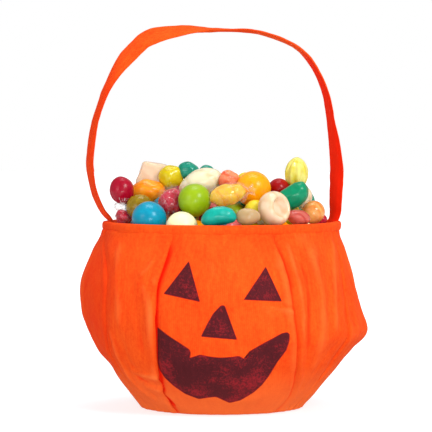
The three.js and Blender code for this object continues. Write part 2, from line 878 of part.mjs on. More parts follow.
function buriedGeometry() {
  const shoulder = narrowed(buriedRing(shoulderLevel), fillNeck);
  shoulder.forEach((point) => point.setZ(rimTop - shoulderDrop));
  const body = toSolid(loft([...bodyRings(), shoulder, ...heapRings(shoulder)]));
  return toGeometry(allBulges().reduce((solid, bulge) => solid.add(bulgeSolid(bulge)), body));
}

// Assembly

const basket = new THREE.Group();

panelNames.forEach((name, index) => basket.add(named(name, panelGeometry(index), orangeCloth)));
basket.add(named("base_panel", basePanelGeometry(), orangeCloth));
basket.add(named("rim_band", rimBandGeometry(), orangeCloth));
basket.add(named("rim_hoop", rimHoopGeometry(), clearPlastic));
basket.add(named("handle_tab_left", strapTabGeometry(-1), orangeCloth));
basket.add(named("handle_tab_right", strapTabGeometry(1), orangeCloth));
basket.add(named("handle_strap", strapGeometry(), orangeCloth));

const skin = printSkin();
basket.add(named("left_eye", printGeometry(skin, leftEye), maroonPrint));
basket.add(named("right_eye", printGeometry(skin, rightEye), maroonPrint));
basket.add(named("nose", printGeometry(skin, noseOutline), maroonPrint));
basket.add(named("mouth", printGeometry(skin, mouthOutline), maroonPrint));

const buriedFinish = new THREE.MeshStandardMaterial({ color: 0xc8902c, roughness: 0.3, metalness: 0 });
const buriedSweets = named("buried_candy", buriedGeometry(), buriedFinish);
basket.add(buriedSweets);
pourSweets(buriedSweets).forEach((mesh) => basket.add(mesh));

export default basket;
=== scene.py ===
import json
import math
import random
from functools import partial

import bmesh
import bpy
import numpy as np
from mathutils import Matrix, Vector, noise
from mathutils.bvhtree import BVHTree


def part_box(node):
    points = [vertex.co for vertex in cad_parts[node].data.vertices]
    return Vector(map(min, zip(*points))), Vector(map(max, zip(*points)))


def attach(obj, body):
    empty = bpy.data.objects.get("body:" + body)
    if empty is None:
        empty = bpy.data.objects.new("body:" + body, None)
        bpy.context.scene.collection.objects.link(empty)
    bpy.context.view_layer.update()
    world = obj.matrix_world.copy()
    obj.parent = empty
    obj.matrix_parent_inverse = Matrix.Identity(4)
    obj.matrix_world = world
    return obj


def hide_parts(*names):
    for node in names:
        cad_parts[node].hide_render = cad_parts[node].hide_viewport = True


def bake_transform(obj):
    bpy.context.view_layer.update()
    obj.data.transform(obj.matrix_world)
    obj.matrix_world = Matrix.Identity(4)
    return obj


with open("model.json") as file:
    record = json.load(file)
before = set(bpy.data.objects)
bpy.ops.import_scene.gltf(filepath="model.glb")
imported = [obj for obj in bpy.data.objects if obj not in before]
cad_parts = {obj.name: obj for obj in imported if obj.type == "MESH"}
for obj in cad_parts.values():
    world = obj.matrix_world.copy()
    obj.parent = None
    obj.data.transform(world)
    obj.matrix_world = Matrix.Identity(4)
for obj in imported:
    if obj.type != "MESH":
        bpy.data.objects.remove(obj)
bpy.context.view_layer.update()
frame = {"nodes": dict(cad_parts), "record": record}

# %% [markdown]
# ## Camera
# A product photograph of a small thing is taken from well back with a long lens, so that near and far parts
# look nearly the same size. Here the lens stands a little above the rim and looks very slightly down.
#
# %% Place the camera
lens_away, lens_height, lens_aside = 1900, 204, -3.85  # millimetres from the middle of the base
camera = bpy.data.objects.new("camera", bpy.data.cameras.new("camera"))
camera.location = (lens_aside / 1000, -lens_away / 1000, lens_height / 1000)
looked_at = Vector((lens_aside / 1000, 0, 0.134))
camera.rotation_euler = (looked_at - camera.location).to_track_quat("-Z", "Y").to_euler()
camera.data.lens = 226.3
camera.data.sensor_width = 36
camera.data.clip_end = 50
bpy.context.scene.collection.objects.link(camera)
bpy.context.scene.camera = camera
bpy.context.scene.view_settings.view_transform = "Standard"
print("camera, metres:", list(camera.location))

# %% [markdown]
# ## Nodes
# Every finish here is worked out by nodes, so nothing is painted or loaded. Short functions add them, so that
# each material below reads like a sum or a list.
#
# %% Helpers for colours and nodes
def tint(hexed):
    """A colour written as on a screen, made linear for the shader."""
    parts = [int(hexed[i : i + 2], 16) / 255 for i in (0, 2, 4)]
    return tuple(c / 12.92 if c < 0.04045 else ((c + 0.055) / 1.055) ** 2.4 for c in parts) + (1.0,)


def feed(node, values):
    """Gives inputs of a node their values, or links where a value is another node's output."""
    for key, value in values.items():
        if isinstance(value, bpy.types.NodeSocket):
            node.id_data.links.new(value, node.inputs[key])
        else:
            node.inputs[key].default_value = value
    return node


def put(tree, kind, values=None, **settings):
    """Adds a shader node, with its settings and with values or links for its inputs."""
    node = tree.nodes.new("ShaderNode" + kind)
    for key, value in settings.items():
        setattr(node, key, value)
    return feed(node, values or {})


def reckon(operation, first, second):
    """One Math node's result. The first value is another node's output."""
    return put(first.id_data, "Math", {0: first, 1: second}, operation=operation).outputs[0]


add, times, larger = (partial(reckon, operation) for operation in ("ADD", "MULTIPLY", "MAXIMUM"))


def ranged(value, low, high, least=0.0, most=1.0):
    """Stretches the range from low to high to the one from least to most, and holds it at both ends."""
    limits = {"From Min": low, "From Max": high, "To Min": least, "To Max": most}
    return put(value.id_data, "MapRange", {"Value": value, **limits}).outputs[0]


def noisy(place, scale, detail=2.0, roughness=0.5, distortion=0.0):
    """A cloudy pattern, finer for a larger scale."""
    values = {"Vector": place, "Scale": scale, "Detail": detail, "Roughness": roughness, "Distortion": distortion}
    return put(place.id_data, "TexNoise", values).outputs["Fac"]


def blend(factor, first, second):
    """Mixes two colours by a factor, which is another node's output."""
    return put(factor.id_data, "Mix", {0: factor, 6: first, 7: second}, data_type="RGBA").outputs[2]


# %% Helpers for materials and groups
def new_material(name):
    """A material, its tree of nodes, its shader and the place on the object that its patterns follow."""
    material = bpy.data.materials.new(name)
    material.use_nodes = True
    tree = material.node_tree
    return material, tree, tree.nodes["Principled BSDF"], put(tree, "TexCoord").outputs["Object"]


def new_group(name, numbers, surfaces, results):
    """A node group with named sockets, what it is given, the node that takes its results, and the place."""
    group = bpy.data.node_groups.new(name, "ShaderNodeTree")
    for label, start in numbers.items():
        socket = group.interface.new_socket(name=label, in_out="INPUT", socket_type="NodeSocketFloat")
        socket.default_value = start
    for label in surfaces:
        group.interface.new_socket(name=label, in_out="INPUT", socket_type="NodeSocketVector")
    for label in results:
        group.interface.new_socket(name=label, in_out="OUTPUT", socket_type="NodeSocketFloat")
    given, result = group.nodes.new("NodeGroupInput"), group.nodes.new("NodeGroupOutput")
    return group, given.outputs, result, put(group, "TexCoord").outputs["Object"]


# %% [markdown]
# ## Brushed cloth
# The bag is cut from a cheap brushed cloth, like thin felt: matt, with a short nap that catches the light at
# the edges, fine rows of knitting under it and a slightly uneven dye. One node group makes the rows, the nap
# and the dye. The cloth, the thread and the print all use it with their own values.
#
# %% Build the cloth's node group
cloth_group, given, result, place = new_group("brushed cloth", {"Rows": 0.6}, ["Surface"], ["Shade", "Height"])
knitted = {"Vector": given["Surface"], "Detail": 1.0, "Detail Scale": 3.0}
rows = put(cloth_group, "TexWave", {**knitted, "Scale": 0.55, "Distortion": 0.6}, bands_direction="X").outputs["Fac"]
cross = put(cloth_group, "TexWave", {**knitted, "Scale": 0.4, "Distortion": 0.8}, bands_direction="Y").outputs["Fac"]
stroked = put(cloth_group, "Mapping", {"Vector": given["Surface"], "Scale": (0.55, 0.05, 1.0)}).outputs[0]
brushed = noisy(stroked, 1.0, 4.0, 0.65)
dye = noisy(place, 28.0, 4.0, 0.6)
fuzz = add(noisy(place, 1500.0, 3.0, 0.7), noisy(place, 420.0, 3.0))
ribs = add(times(rows, given["Rows"]), times(cross, 0.25))
shade = add(add(times(fuzz, 0.42), times(add(dye, brushed), 0.5)), times(ribs, 0.12))
feed(result, {"Shade": ranged(shade, 0.74, 1.2), "Height": add(ribs, fuzz)})
print("nodes in the cloth's group:", len(cloth_group.nodes))


# %% [markdown]
# The cloth itself could be one flat orange, but it looks dull then. In a deep crease, orange light goes from
# cloth to cloth and comes out red. So the shape below stores for each corner how far it stands out, and the
# material paints that light into the colour: red painted shade in the creases, a pale painted highlight on the ridges.
#
# %% Finish the cloths
def cloth_material(name, deep, light, crease, raised, row_strength=0.6, bump=0.25, sheen=0.16, painted_glow=0.09):
    """A matt cloth that wanders between two near colours. Painted shade makes it redder in its creases and on the side
    away from the lamp, painted highlights make it paler on its ridges and low down, and a faint painted red glow,
    strongest in the creases, lifts the shade."""
    material, tree, shader, place = new_material(name)
    laid = put(tree, "UVMap", uv_map="cloth").outputs[0]
    weave = put(tree, "Group", node_tree=cloth_group)
    feed(weave, {"Rows": row_strength, "Surface": laid})
    relief = put(tree, "Attribute", attribute_name="relief").outputs["Fac"]
    across, _, up = put(tree, "SeparateXYZ", {0: place}).outputs
    # Painted highlight: paler on the ridges, and painted bounce light low down, near the floor.
    pale = larger(ranged(relief, 0.4, 3.0, most=0.6), ranged(up, 0.034, 0.004, most=0.6))
    dye_and_painted_light = blend(pale, blend(weave.outputs["Shade"], tint(deep), tint(light)), tint(raised))
    # Painted shade: the side away from the lamp, on the left, is mixed towards the crease red.
    dye_and_painted_light = blend(ranged(across, -0.070, -0.079, most=0.38), dye_and_painted_light, tint(crease))
    # Painted shade and painted light: deep creases turn crease red, and a faint red glow, strongest there, lifts the
    # shade all over.
    deep_fold = {"low": -1.2, "high": -2.9}
    height = {"Height": weave.outputs["Height"], "Strength": bump, "Distance": 0.0003}
    feed(shader, {
        "Base Color": blend(ranged(relief, **deep_fold, most=0.9), dye_and_painted_light, tint(crease)),
        "Normal": put(tree, "Bump", height).outputs[0],
        "Emission Color": tint(crease),
        "Emission Strength": ranged(relief, **deep_fold, least=painted_glow, most=painted_glow * 3),
        "Roughness": 0.92, "Specular IOR Level": 0.08,
        "Sheen Weight": sheen, "Sheen Roughness": 0.45, "Sheen Tint": tint("ff7430"),
    })
    return material


# The cloth and the thread both carry the painted crease shade, the painted ridge highlight and the painted red glow.
orange_cloth = cloth_material("orange brushed cloth", "de380a", "ee5a18", "d81402", "ff8440")
orange_thread = cloth_material("orange thread", "a8200a", "c03a10", "b01404", "d05020", 0.2, 0.6)

# %% [markdown]
# ## Printed colour
# The face is printed with a dark maroon ink that didn't fill the nap evenly, so bright red shows through in
# specks and small clouds, more of them low down, and in a thin line along each edge.
#
# %% Finish the print
# The print carries the same painted crease shade and painted ridge highlight, in its own colours, and no glow.
print_ink = cloth_material("maroon print", "48171c", "581c22", "3c1014", "6a262a", bump=0.35, sheen=0.06, painted_glow=0.0)
ink_tree = print_ink.node_tree
ink_shader = ink_tree.nodes["Principled BSDF"]
ink_colour = ink_shader.inputs["Base Color"].links[0].from_socket
place = put(ink_tree, "TexCoord").outputs["Object"]
specks = noisy(place, 650.0, 4.0, 0.75)
up = put(ink_tree, "SeparateXYZ", {0: place}).outputs[2]
worn = add(add(times(noisy(place, 70.0, 3.0), 0.8), specks), ranged(up, 0.07, 0.012, most=0.14))
from_edge = put(ink_tree, "Attribute", attribute_name="ink").outputs["Fac"]
ragged = add(from_edge, times(specks, 0.6))
speckled = blend(ranged(worn, 0.98, 1.24, most=0.75), ink_colour, tint("a8242c"))
feed(ink_shader, {"Base Color": blend(ranged(ragged, 0.42, 0.68, 1.0, 0.0), speckled, tint("b81e18"))})

# %% [markdown]
# ## The gores
# Each gore is a pointed strip of cloth, sewn to its neighbours and pushed out by the sweets. Filled cloth
# can't stretch, so it puffs beside each seam and folds over it. That is why the cross-section at a seam is
# drawn as a small hook: one gore runs in under the other. The outline is drawn as four profiles, at the
# front, the back and the two sides, and every other direction is a mix of them. All shapes are worked out in
# millimetres, as a sewing pattern is, and made metres at the very end.
#
# %% The bag's outline
def curve_of(points, spread=2.5):
    """A function through (height, value) points, with its corners rounded over some millimetres."""
    heights, values = zip(*points)
    step, count = 0.5, 24
    steps = np.arange(-20.0, 150.0, step)
    window = np.exp(-0.5 * (np.arange(-count, count + 1) * step / spread) ** 2)
    plain = np.pad(np.interp(steps, heights, values), count, mode="edge")
    rounded = np.convolve(plain, window / window.sum(), mode="valid")
    return lambda height: np.interp(height, steps, rounded)


side_profile = {
    "left": [
        (0, 55.5), (2, 57.5), (6, 61), (13, 66.5), (20, 71.5), (32, 79.5), (41, 86.5), (54, 93.2), (66, 97.6),
        (78, 98.9), (84, 99.1), (91, 98), (98, 95.6), (113, 89.3), (122, 84)],
    "right": [
        (0, 55.5), (4, 58.6), (10, 65), (20, 73.4), (30, 81.8), (42, 92.2), (48, 98), (52, 101.2), (56, 102),
        (60, 101), (70, 97.6), (84, 94), (98, 90.4), (115, 85.4), (122, 82.8)],
    "front": [
        (0, 55.5), (2, 58.5), (6, 64), (12, 71), (24, 81.5), (38, 90.3), (54, 95.6), (68, 97.4), (80, 96.8),
        (95, 93.6), (110, 88), (122, 83)],
    "back": [
        (0, 55.5), (3, 59), (8, 65.5), (16, 74), (28, 84), (42, 92.5), (58, 97.5), (72, 98), (86, 95.6),
        (100, 91.4), (112, 87), (122, 83)],
}
profile = {side: curve_of(points) for side, points in side_profile.items()}


def bag_radius(angle, height):
    """How far the plain cloth stands from the middle. The angle runs from the front to the right, in radians."""
    across, ahead = np.sin(angle), np.cos(angle)
    side = np.where(across > 0, profile["right"](height), profile["left"](height))
    end = np.where(ahead > 0, profile["front"](height), profile["back"](height))
    return side * across**2 + end * ahead**2


print("from the middle to the front at half height, mm:", round(float(bag_radius(0, 62)), 1))

# %% [markdown]
# The seams wander, because each gore is cut and sewn by hand. Two of them, beside the face, are folded deep,
# and the ones at the sides hardly show. So each seam is a line of its own with its own depth.
#
# %% Draw the seams
# Each seam: its angle in degrees at some heights, which neighbour folds over it (-1 the one before, 1 the one
# after) and how deep the fold is.
seams = [
    ([(0, -31.5), (8, -33), (16, -33), (28, -31.2), (54, -28.2), (71, -27.8), (91, -27.6), (107, -25.2), (122, -22.8)],
     -1, 0.78),
    ([(0, 40.5), (12, 42.5), (22, 38), (40, 33.4), (55, 31), (74, 29.2), (98, 28.4), (122, 25.8)], -1, 0.85),
    ([(0, 62), (57, 60), (122, 69)], 1, 0.28),
    ([(0, 118), (57, 120), (122, 112)], -1, 0.8),
    ([(0, 141), (72, 148.5), (122, 153.5)], 1, 0.9),
    ([(0, 213), (72, 207), (122, 203.5)], -1, 0.9),
    ([(0, 236), (82, 236), (122, 252)], 1, 0.8),
    ([(0, 300), (38, 298.5), (54, 303), (70, 306.5), (90, 306.5), (108, 300), (122, 284)], -1, 0.22),
]
seam_curve = [curve_of(points, 4) for points, _, _ in seams]
fold_by_height = curve_of([(0, 0.3), (10, 0.7), (35, 1), (92, 1), (110, 0.75), (121, 0.25)], 3)


def seam_angle(index, height):
    """A seam's angle in radians. The list goes round, so the one after the last is the first again."""
    turn = 360 * (index // len(seams))
    return np.radians(seam_curve[index % len(seams)](height) + turn)


# %% [markdown]
# The folds are the ones the photograph shows: long soft ridges down the side gores, a pinched strip beside
# the right seam and creases where the base pulls the cloth in. Each is a line over the cloth with a rise,
# which is negative for a crease, and a width. The cloth rises by how near it is to the line.
#
# %% Draw the folds seen from the front
front_folds = [
    # the left gores: long light ridges beside the side seam, and two folds across where the base pulls
    ([(-78.8, 56), (-76, 46), (-71.5, 32), (-66, 22), (-58, 12), (-46, 4)], 1.5, 1.7),
    ([(-80, 56), (-79, 46), (-77.3, 37)], 0.9, 1.3),
    ([(-72, 50), (-68, 36), (-62, 27), (-56, 24)], -0.9, 3.0),
    ([(-65, 26), (-57, 22.5), (-49, 20.5), (-43, 18.5)], 1.7, 1.7),
    ([(-62, 21.5), (-54, 17.5), (-46, 15), (-41, 13.5)], -1.7, 2.3),
    ([(-56, 15), (-46, 11.5), (-38, 8), (-31.5, 3)], 1.2, 2.0),
    ([(-50, 8), (-40, 5), (-32, 0.5)], -1.1, 1.8),
    ([(-51.8, 88), (-50.6, 76), (-48.4, 64)], -1.3, 1.5),
    ([(-54.6, 88), (-53.8, 76), (-52.2, 62), (-52, 40)], 0.9, 2.6),
    ([(-62, 112), (-63.5, 96), (-62, 74), (-58, 50), (-56, 32)], -0.9, 4.0),
    ([(-47, 104), (-52, 97), (-58, 92)], 0.9, 2.4),
    ([(-44, 101), (-50, 92), (-55, 86)], -0.5, 2.2),
    ([(-70, 118), (-73, 100), (-73, 76), (-70, 50)], 0.8, 3.5),
    # the right gores: a pinched strip beside the seam, then soft folds, and the light edge of the low corner
    ([(45, 116), (50.5, 98), (55, 82), (57.4, 66), (57.6, 50), (55.8, 30), (51, 4)], 1.2, 2.0),
    ([(52, 112), (57, 98), (61.3, 86), (62.5, 66), (62, 48), (59.4, 28)], -1.6, 2.5),
    ([(61, 112), (67, 96), (70.5, 75), (70.5, 52), (66, 32), (60, 14)], 0.9, 4.2),
    ([(77, 118), (78.5, 95), (79.5, 70), (80, 50)], 0.9, 2.4),
    ([(73, 118), (74.5, 95), (75.5, 70), (75.5, 48)], -0.7, 2.4),
    ([(81, 116), (86, 92), (90, 72), (92, 58)], -0.8, 2.6),
    ([(91, 43), (78, 28.5), (64, 12), (58, 5)], 1.0, 2.0),
    ([(86, 50), (72, 34), (62, 20)], -0.6, 3.0),
    # the front gore: faint wrinkles under the right eye and beside the mouth's end
    ([(33, 70.4), (41.5, 68.4), (50, 65)], 0.7, 1.2),
    ([(33, 73), (42, 71), (50, 68)], -0.5, 1.1),
    ([(22, 75), (32, 67), (38, 62)], 0.35, 1.5),
    ([(20, 90), (34, 97), (42, 104)], 0.4, 3.0),
    ([(-16, 112), (-8, 100), (-2, 88)], 0.35, 4.0),
    ([(-30, 12), (-10, 6), (12, 3), (30, 8)], 0.7, 2.6),
]

# %% Draw the folds round the sides and back
round_folds = [  # as (angle in degrees, height)
    ([(78, 116), (80, 90), (84, 62), (86, 44)], 1.0, 5.0),
    ([(92, 112), (94, 86), (92, 60), (94, 30)], -1.2, 4.5),
    ([(103, 110), (106, 84), (104, 58), (106, 26)], 1.2, 5.0),
    ([(126, 114), (129, 88), (132, 60), (130, 30)], 1.1, 4.5),
    ([(137, 108), (139, 84), (139, 56)], -1.0, 4.0),
    ([(162, 112), (165, 86), (163, 58), (166, 28)], 1.1, 5.5),
    ([(178, 104), (181, 80), (179, 52), (182, 24)], -0.9, 5.5),
    ([(194, 112), (192, 88), (194, 60), (192, 30)], 1.0, 5.0),
    ([(216, 112), (214, 86), (217, 58), (216, 26)], 1.2, 4.5),
    ([(226, 108), (224, 84), (226, 54)], -1.1, 4.0),
    ([(256, 114), (253, 92), (256, 66), (252, 40)], 1.2, 5.5),
    ([(268, 112), (266, 86), (268, 58), (266, 28)], -1.1, 5.0),
    ([(280, 112), (284, 90), (282, 64), (284, 34)], 1.0, 4.5),
]
print("folds drawn:", len(front_folds) + len(round_folds))

# %% [markdown]
# The front folds are written down as a person in front of the bag sees them, in a flat view. The lens is near
# enough to matter, so each of their points is sent along its line of sight to the cloth.
#
# %% Bring the folds onto the cloth
def smooth_path(points, per_span):
    """A rounded line through points of any dimension, with some steps in each span between two of them."""
    p = np.array([points[0], *points, points[-1]], float)
    t = np.linspace(0, 1, per_span, endpoint=False)[:, None]
    spans = []
    for i in range(1, len(p) - 2):
        a, b, c, d = p[i - 1], p[i], p[i + 1], p[i + 2]
        spans.append(0.5 * (2 * b + (c - a) * t + (2 * a - 5 * b + 4 * c - d) * t**2 + (3 * b - a - 3 * c + d) * t**3))
    return np.vstack([*spans, p[-1:]])


usual_reach = 96  # millimetres from the bag's middle to the cloth


def on_cloth(x, z):
    """The angle and height on the bag of a point that the front view shows x beside the middle and z up."""
    depth = -80.0
    for _ in range(6):
        scale = lens_away / (lens_away + depth)
        height = lens_height + (z - lens_height) / scale
        side = x / scale
        reach = float(bag_radius(math.asin(max(-1, min(1, side / usual_reach))), height))
        depth = -math.sqrt(max(reach**2 - side**2, 1))
    return math.atan2(side, -depth), height


# All the folds as lines of (millimetres round the bag, height). The bag is cut open on its left, and a fold
# that starts beyond the cut is measured from the other side of it.
per_radian, cut_open = 95.0, -math.pi / 3
fold_strength, fade_share = 1.3, 1 / 6
drawn = [([on_cloth(x, z) for x, z in points], *rest) for points, *rest in front_folds]
drawn += [([(math.radians(angle), height) for angle, height in points], *rest) for points, *rest in round_folds]
folds = [(smooth_path([(angle * per_radian, height) for angle, height in points], 4), rise, width)
         for points, rise, width in drawn]
print("lines on the cloth:", len(folds))

# %% [markdown]
# A fold could be sculpted by hand, but then it is gone when the bag's size changes. Here a function adds up
# the rise of all the folds at any point of the cloth, and a noise adds the small dents between them.
#
# %% Lift the cloth along the folds
def beside(spots, line):
    """How far some flat points are from a line of points, and how far along the line they lie, from 0 to 1."""
    nearest, along = np.full(len(spots), 1e3), np.zeros(len(spots))
    for i in range(len(line) - 1):
        side = line[i + 1] - line[i]
        share = np.clip((spots - line[i]) @ side / (side @ side), 0, 1)
        away = np.linalg.norm(spots - line[i] - share[:, None] * side, axis=1)
        along = np.where(away < nearest, (i + share) / (len(line) - 1), along)
        nearest = np.minimum(nearest, away)
    return nearest, along


def fold_rise(angle, height):
    """How far all the folds lift the cloth at some points. A fold fades towards both of its ends."""
    turn = (angle - cut_open) % math.tau + cut_open
    rise = np.zeros_like(angle)
    for line, lift, width in folds:
        round_by = turn * per_radian
        if line[0, 0] < cut_open * per_radian:
            round_by = round_by - math.tau * per_radian * (turn > math.pi)
        away, along = beside(np.stack([round_by, height], axis=1), line)
        fade = np.clip(np.minimum(along, 1 - along) / fade_share, 0, 1)
        rise += fold_strength * lift * np.exp(-((away / width) ** 1.6)) * fade * (2 - fade)
    return rise


# %% Dent the cloth between the folds
def noises(*axes):
    """Smooth noise at many points, given as one array or one number for each axis."""
    return np.array([noise.noise(Vector(spot)) for spot in np.broadcast(*axes)])


def unevenness(angle, height, reach):
    """Soft dents over sweets, gathers under the hem and over the base, and fine creases. The front lies calmer."""
    x, y = reach * np.sin(angle), -reach * np.cos(angle)
    dent, crease, fading = 24, 8, 7  # their sizes, and how far gathers and tucks reach, in millimetres
    dents = noises(x / dent, y / dent, height / 34)
    creases = noises(x / crease, y / crease, height / 17 + 40)
    gather_count, tuck_count = 58, 46
    gathers = np.sin(gather_count * angle + 5 * dents) * np.exp(-np.clip(124 - height, 0, None) / fading)
    tucks = np.sin(tuck_count * angle + 3 * dents) * np.exp(-np.clip(height, 0, None) / fading)
    from_front = np.degrees((angle + np.pi) % math.tau - np.pi)
    calm = 1 - 0.6 * np.exp(-((from_front / 22) ** 4))
    return (1.1 * dents + 0.65 * creases) * calm + 0.25 * gathers + 0.55 * tucks


# %% [markdown]
# A gore is laid over the bag as a grid. A function says where each corner of the flat cloth goes, and the flat
# place is kept as the UV map, so that the weave follows the cloth.
#
# %% Lay a grid of cloth
def piece_from(bm, name, body, material, replaces=()):
    """Makes an object of a mesh that was shaped in millimetres, and lets it ride on a body."""
    bmesh.ops.scale(bm, vec=(0.001, 0.001, 0.001), verts=bm.verts)
    for face in bm.faces:
        face.smooth = True
    mesh = bpy.data.meshes.new(name)
    bm.to_mesh(mesh)
    bm.free()
    mesh.materials.append(material)
    piece = bpy.data.objects.new(name, mesh)
    bpy.context.scene.collection.objects.link(piece)
    if body:
        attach(piece, body)
    if replaces:
        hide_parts(*replaces)
    return piece


def map_cloth(bm, place_of):
    """Gives each corner of each face its place on the flat cloth, which the weave follows."""
    layer = bm.loops.layers.uv.new("cloth")
    for face in bm.faces:
        for loop in face.loops:
            loop[layer].uv = place_of(loop)


def grid_mesh(columns, rows, place, flat_size=(1, 1), close=False):
    """A grid whose corners are placed by a function of u and v, both from 0 to 1, cut from cloth of a flat size."""
    bm = bmesh.new()
    bmesh.ops.create_grid(bm, x_segments=columns, y_segments=rows, size=1)
    flat = np.array([v.co for v in bm.verts])
    u, v = (flat[:, 0] + 1) / 2, (flat[:, 1] + 1) / 2
    map_cloth(bm, lambda loop: (u[loop.vert.index] * flat_size[0], v[loop.vert.index] * flat_size[1]))
    for vert, spot in zip(bm.verts, place(u, v)):
        vert.co = spot
    if close:
        bmesh.ops.remove_doubles(bm, verts=bm.verts, dist=0.001)
    bm.normal_update()
    return bm


# %% [markdown]
# The cross-section of a seam's fold, in millimetres from the seam line into the gore's own side and outwards.
# The gore that lies over its neighbour bulges, turns round a soft lip and runs back in. The other one comes
# out from below it. Beyond the fold's reach the gore is plain cloth.
#
# %% Fold the cloth at a seam
fold_reach, fold_share = 7.5, 0.22  # in millimetres, and as a share of the gore's columns
over_fold = smooth_path([(2.6, -4.6), (0.4, -3.3), (-1.3, -1.5), (-0.8, 0.5), (1.6, 1.4), (4.4, 0.8), (7.5, 0)], 8)
under_fold = smooth_path([(-2.6, -4.6), (-1.2, -4.4), (0.8, -3.4), (2.8, -1.7), (5.2, -0.4), (7.5, 0)], 8)


def half_fold(share, over, strength):
    """Where a column beside a seam lies: its distance into its own gore, and how far out. Share 1 is plain cloth."""
    shape = over_fold if over else under_fold
    steps = np.linspace(0, 1, len(shape))
    aside, outward = np.interp(share, steps, shape[:, 0]), np.interp(share, steps, shape[:, 1])
    return fold_reach * share + strength * (aside - fold_reach * share), strength * outward


# %% Lay a gore over the bag
plain_rows = [1.0, 2.0, 3.2, 4.6, 6.2, 8.0, 10.0, 12.0, *np.arange(14, 122, 1.5), 122.2, 123.0, 123.7]
row_height = np.array([1.8, 1.0, 0.5, *plain_rows, 124.4, 125.1, 125.8])
row_inset = np.array([4.0, 2.2, 0.8, *[0.0] * len(plain_rows), 0.3, 0.8, 1.7])
row_share = np.linspace(0, 1, len(row_height))


def gore_surface(index):
    """The function that lays gore number index over the bag."""
    (_, before, depth_before), (_, after, depth_after) = seams[index], seams[(index + 1) % len(seams)]

    def place(u, v):
        height, inset = np.interp(v, row_share, row_height), np.interp(v, row_share, row_inset)
        left, right = seam_angle(index, height), seam_angle(index + 1, height)
        reach = bag_radius((left + right) / 2, height)
        margin = fold_reach / reach
        middle_share = np.clip((u - fold_share) / (1 - 2 * fold_share), 0, 1)
        angle = plain = left + margin + (right - left - 2 * margin) * middle_share
        out = np.zeros_like(u)
        for from_seam, seam, way, over, depth in ((u, left, 1, before > 0, depth_before),
                                                  (1 - u, right, -1, after < 0, depth_after)):
            share = np.clip(from_seam / fold_share, 0, 1)
            aside, outward = half_fold(share, over, depth * fold_by_height(height))
            angle = np.where(share < 1, seam + way * aside / reach, angle)
            plain = np.where(share < 1, seam + way * share * margin, plain)
            out = np.where(share < 1, outward, out)
        away = bag_radius(angle, height) - inset
        away = away + out + fold_rise(plain, height) + unevenness(plain, height, away)
        return np.stack([away * np.sin(angle), -away * np.cos(angle), height], axis=1)

    return place


# %% [markdown]
# The eight gores are made in one loop. Solidify gives each its wall, on the inner side, so that the outer one
# stays where it was shaped.
#
# %% Make the gores
def keep_relief(bm):
    """Gives each corner how far it stands out from the plain outline, which the dye uses."""
    layer = bm.verts.layers.float.new("relief")
    spots = np.array([v.co for v in bm.verts])
    plain = bag_radius(np.arctan2(spots[:, 0], -spots[:, 1]), spots[:, 2])
    for vert, relief in zip(bm.verts, np.hypot(spots[:, 0], spots[:, 1]) - plain):
        vert[layer] = relief


gore_grid, gore_flat_size, cloth_metres = (44, 92), (60, 130), 0.0011
cloth_surface = []
sides = ("front", "front_right", "right", "back_right", "back", "back_left", "left", "front_left")
for index, side in enumerate(sides):
    gore = grid_mesh(*gore_grid, gore_surface(index), gore_flat_size)
    keep_relief(gore)
    cloth_surface.append(BVHTree.FromBMesh(gore))
    piece = piece_from(gore, side + "_gore", "bag", orange_cloth, [side + "_panel"])
    wall = piece.modifiers.new("cloth thickness", "SOLIDIFY")
    wall.thickness, wall.offset = cloth_metres, -1
print("gores:", len(cloth_surface))


# %% [markdown]
# ## The printed face
# Print lies in the cloth and follows each dent. So every shape is drawn flat, cut into small squares and then
# laid on the front by looking for the cloth behind each corner. What has no cloth behind it is left out. Each
# corner also keeps its distance from the edge of the shape, and the ink turns bright red where that is small.
#
# %% Cut a shape small and lay it on the cloth
ink_lift, print_cell = 0.25, 0.8  # millimetres
face_across, face_up = (-45, 46), (9, 109)  # where the printed face lies, in millimetres


def rounded_outline(points, radius):
    """The outline with a short chamfer of two steps at each corner."""
    outline = []
    for i, point in enumerate(points):
        here = Vector(point)
        for other in (points[i - 1], points[(i + 1) % len(points)]):
            way = Vector(other) - here
            outline.append(here + way * min(0.35, radius / max(way.length, 0.01)))
        outline[-1:] = [here * 0.55 + (outline[-2] + outline[-1]) * 0.225, outline[-1]]
    return outline


def cloth_behind(x, z):
    """The point of the cloth behind a point of the front view, lifted off it a little, or None."""
    for surface in cloth_surface[:2]:
        hit, normal, _, _ = surface.ray_cast(Vector((x, -200, z)), Vector((0, 1, 0)))
        if hit:
            return hit + (-normal if normal.y > 0 else normal) * ink_lift
    return None


def printed_shape(name, points, radius):
    """A printed patch, cut into small cells, whose corners know how far they are from its edge."""
    outline = rounded_outline(points, radius)
    bm = bmesh.new()
    face = bm.faces.new([bm.verts.new((p.x, 0, p.y)) for p in outline])
    bmesh.ops.triangulate(bm, faces=[face])
    for axis, low, high in (((1, 0, 0), *face_across), ((0, 0, 1), *face_up)):
        for step in np.arange(low, high, print_cell):
            cells = bm.verts[:] + bm.edges[:] + bm.faces[:]
            bmesh.ops.bisect_plane(bm, geom=cells, plane_co=Vector(axis) * float(step), plane_no=axis)
    map_cloth(bm, lambda loop: loop.vert.co.xz)
    ink = bm.verts.layers.float.new("ink")
    inside, _ = beside(np.array([v.co.xz for v in bm.verts]), np.array([*outline, outline[0]]))
    hidden = []
    for vert, distance in zip(bm.verts, inside):
        vert[ink] = distance
        spot = cloth_behind(vert.co.x, vert.co.z)
        if spot:
            vert.co = spot
        else:
            hidden.append(vert)
    bmesh.ops.delete(bm, geom=hidden, context="VERTS")
    bmesh.ops.recalc_face_normals(bm, faces=bm.faces)
    if sum(f.normal.y for f in bm.faces) > 0:
        bmesh.ops.reverse_faces(bm, faces=bm.faces)
    print(name, "cells:", len(bm.faces))
    piece_from(bm, name + "_print", "bag", print_ink, [name])


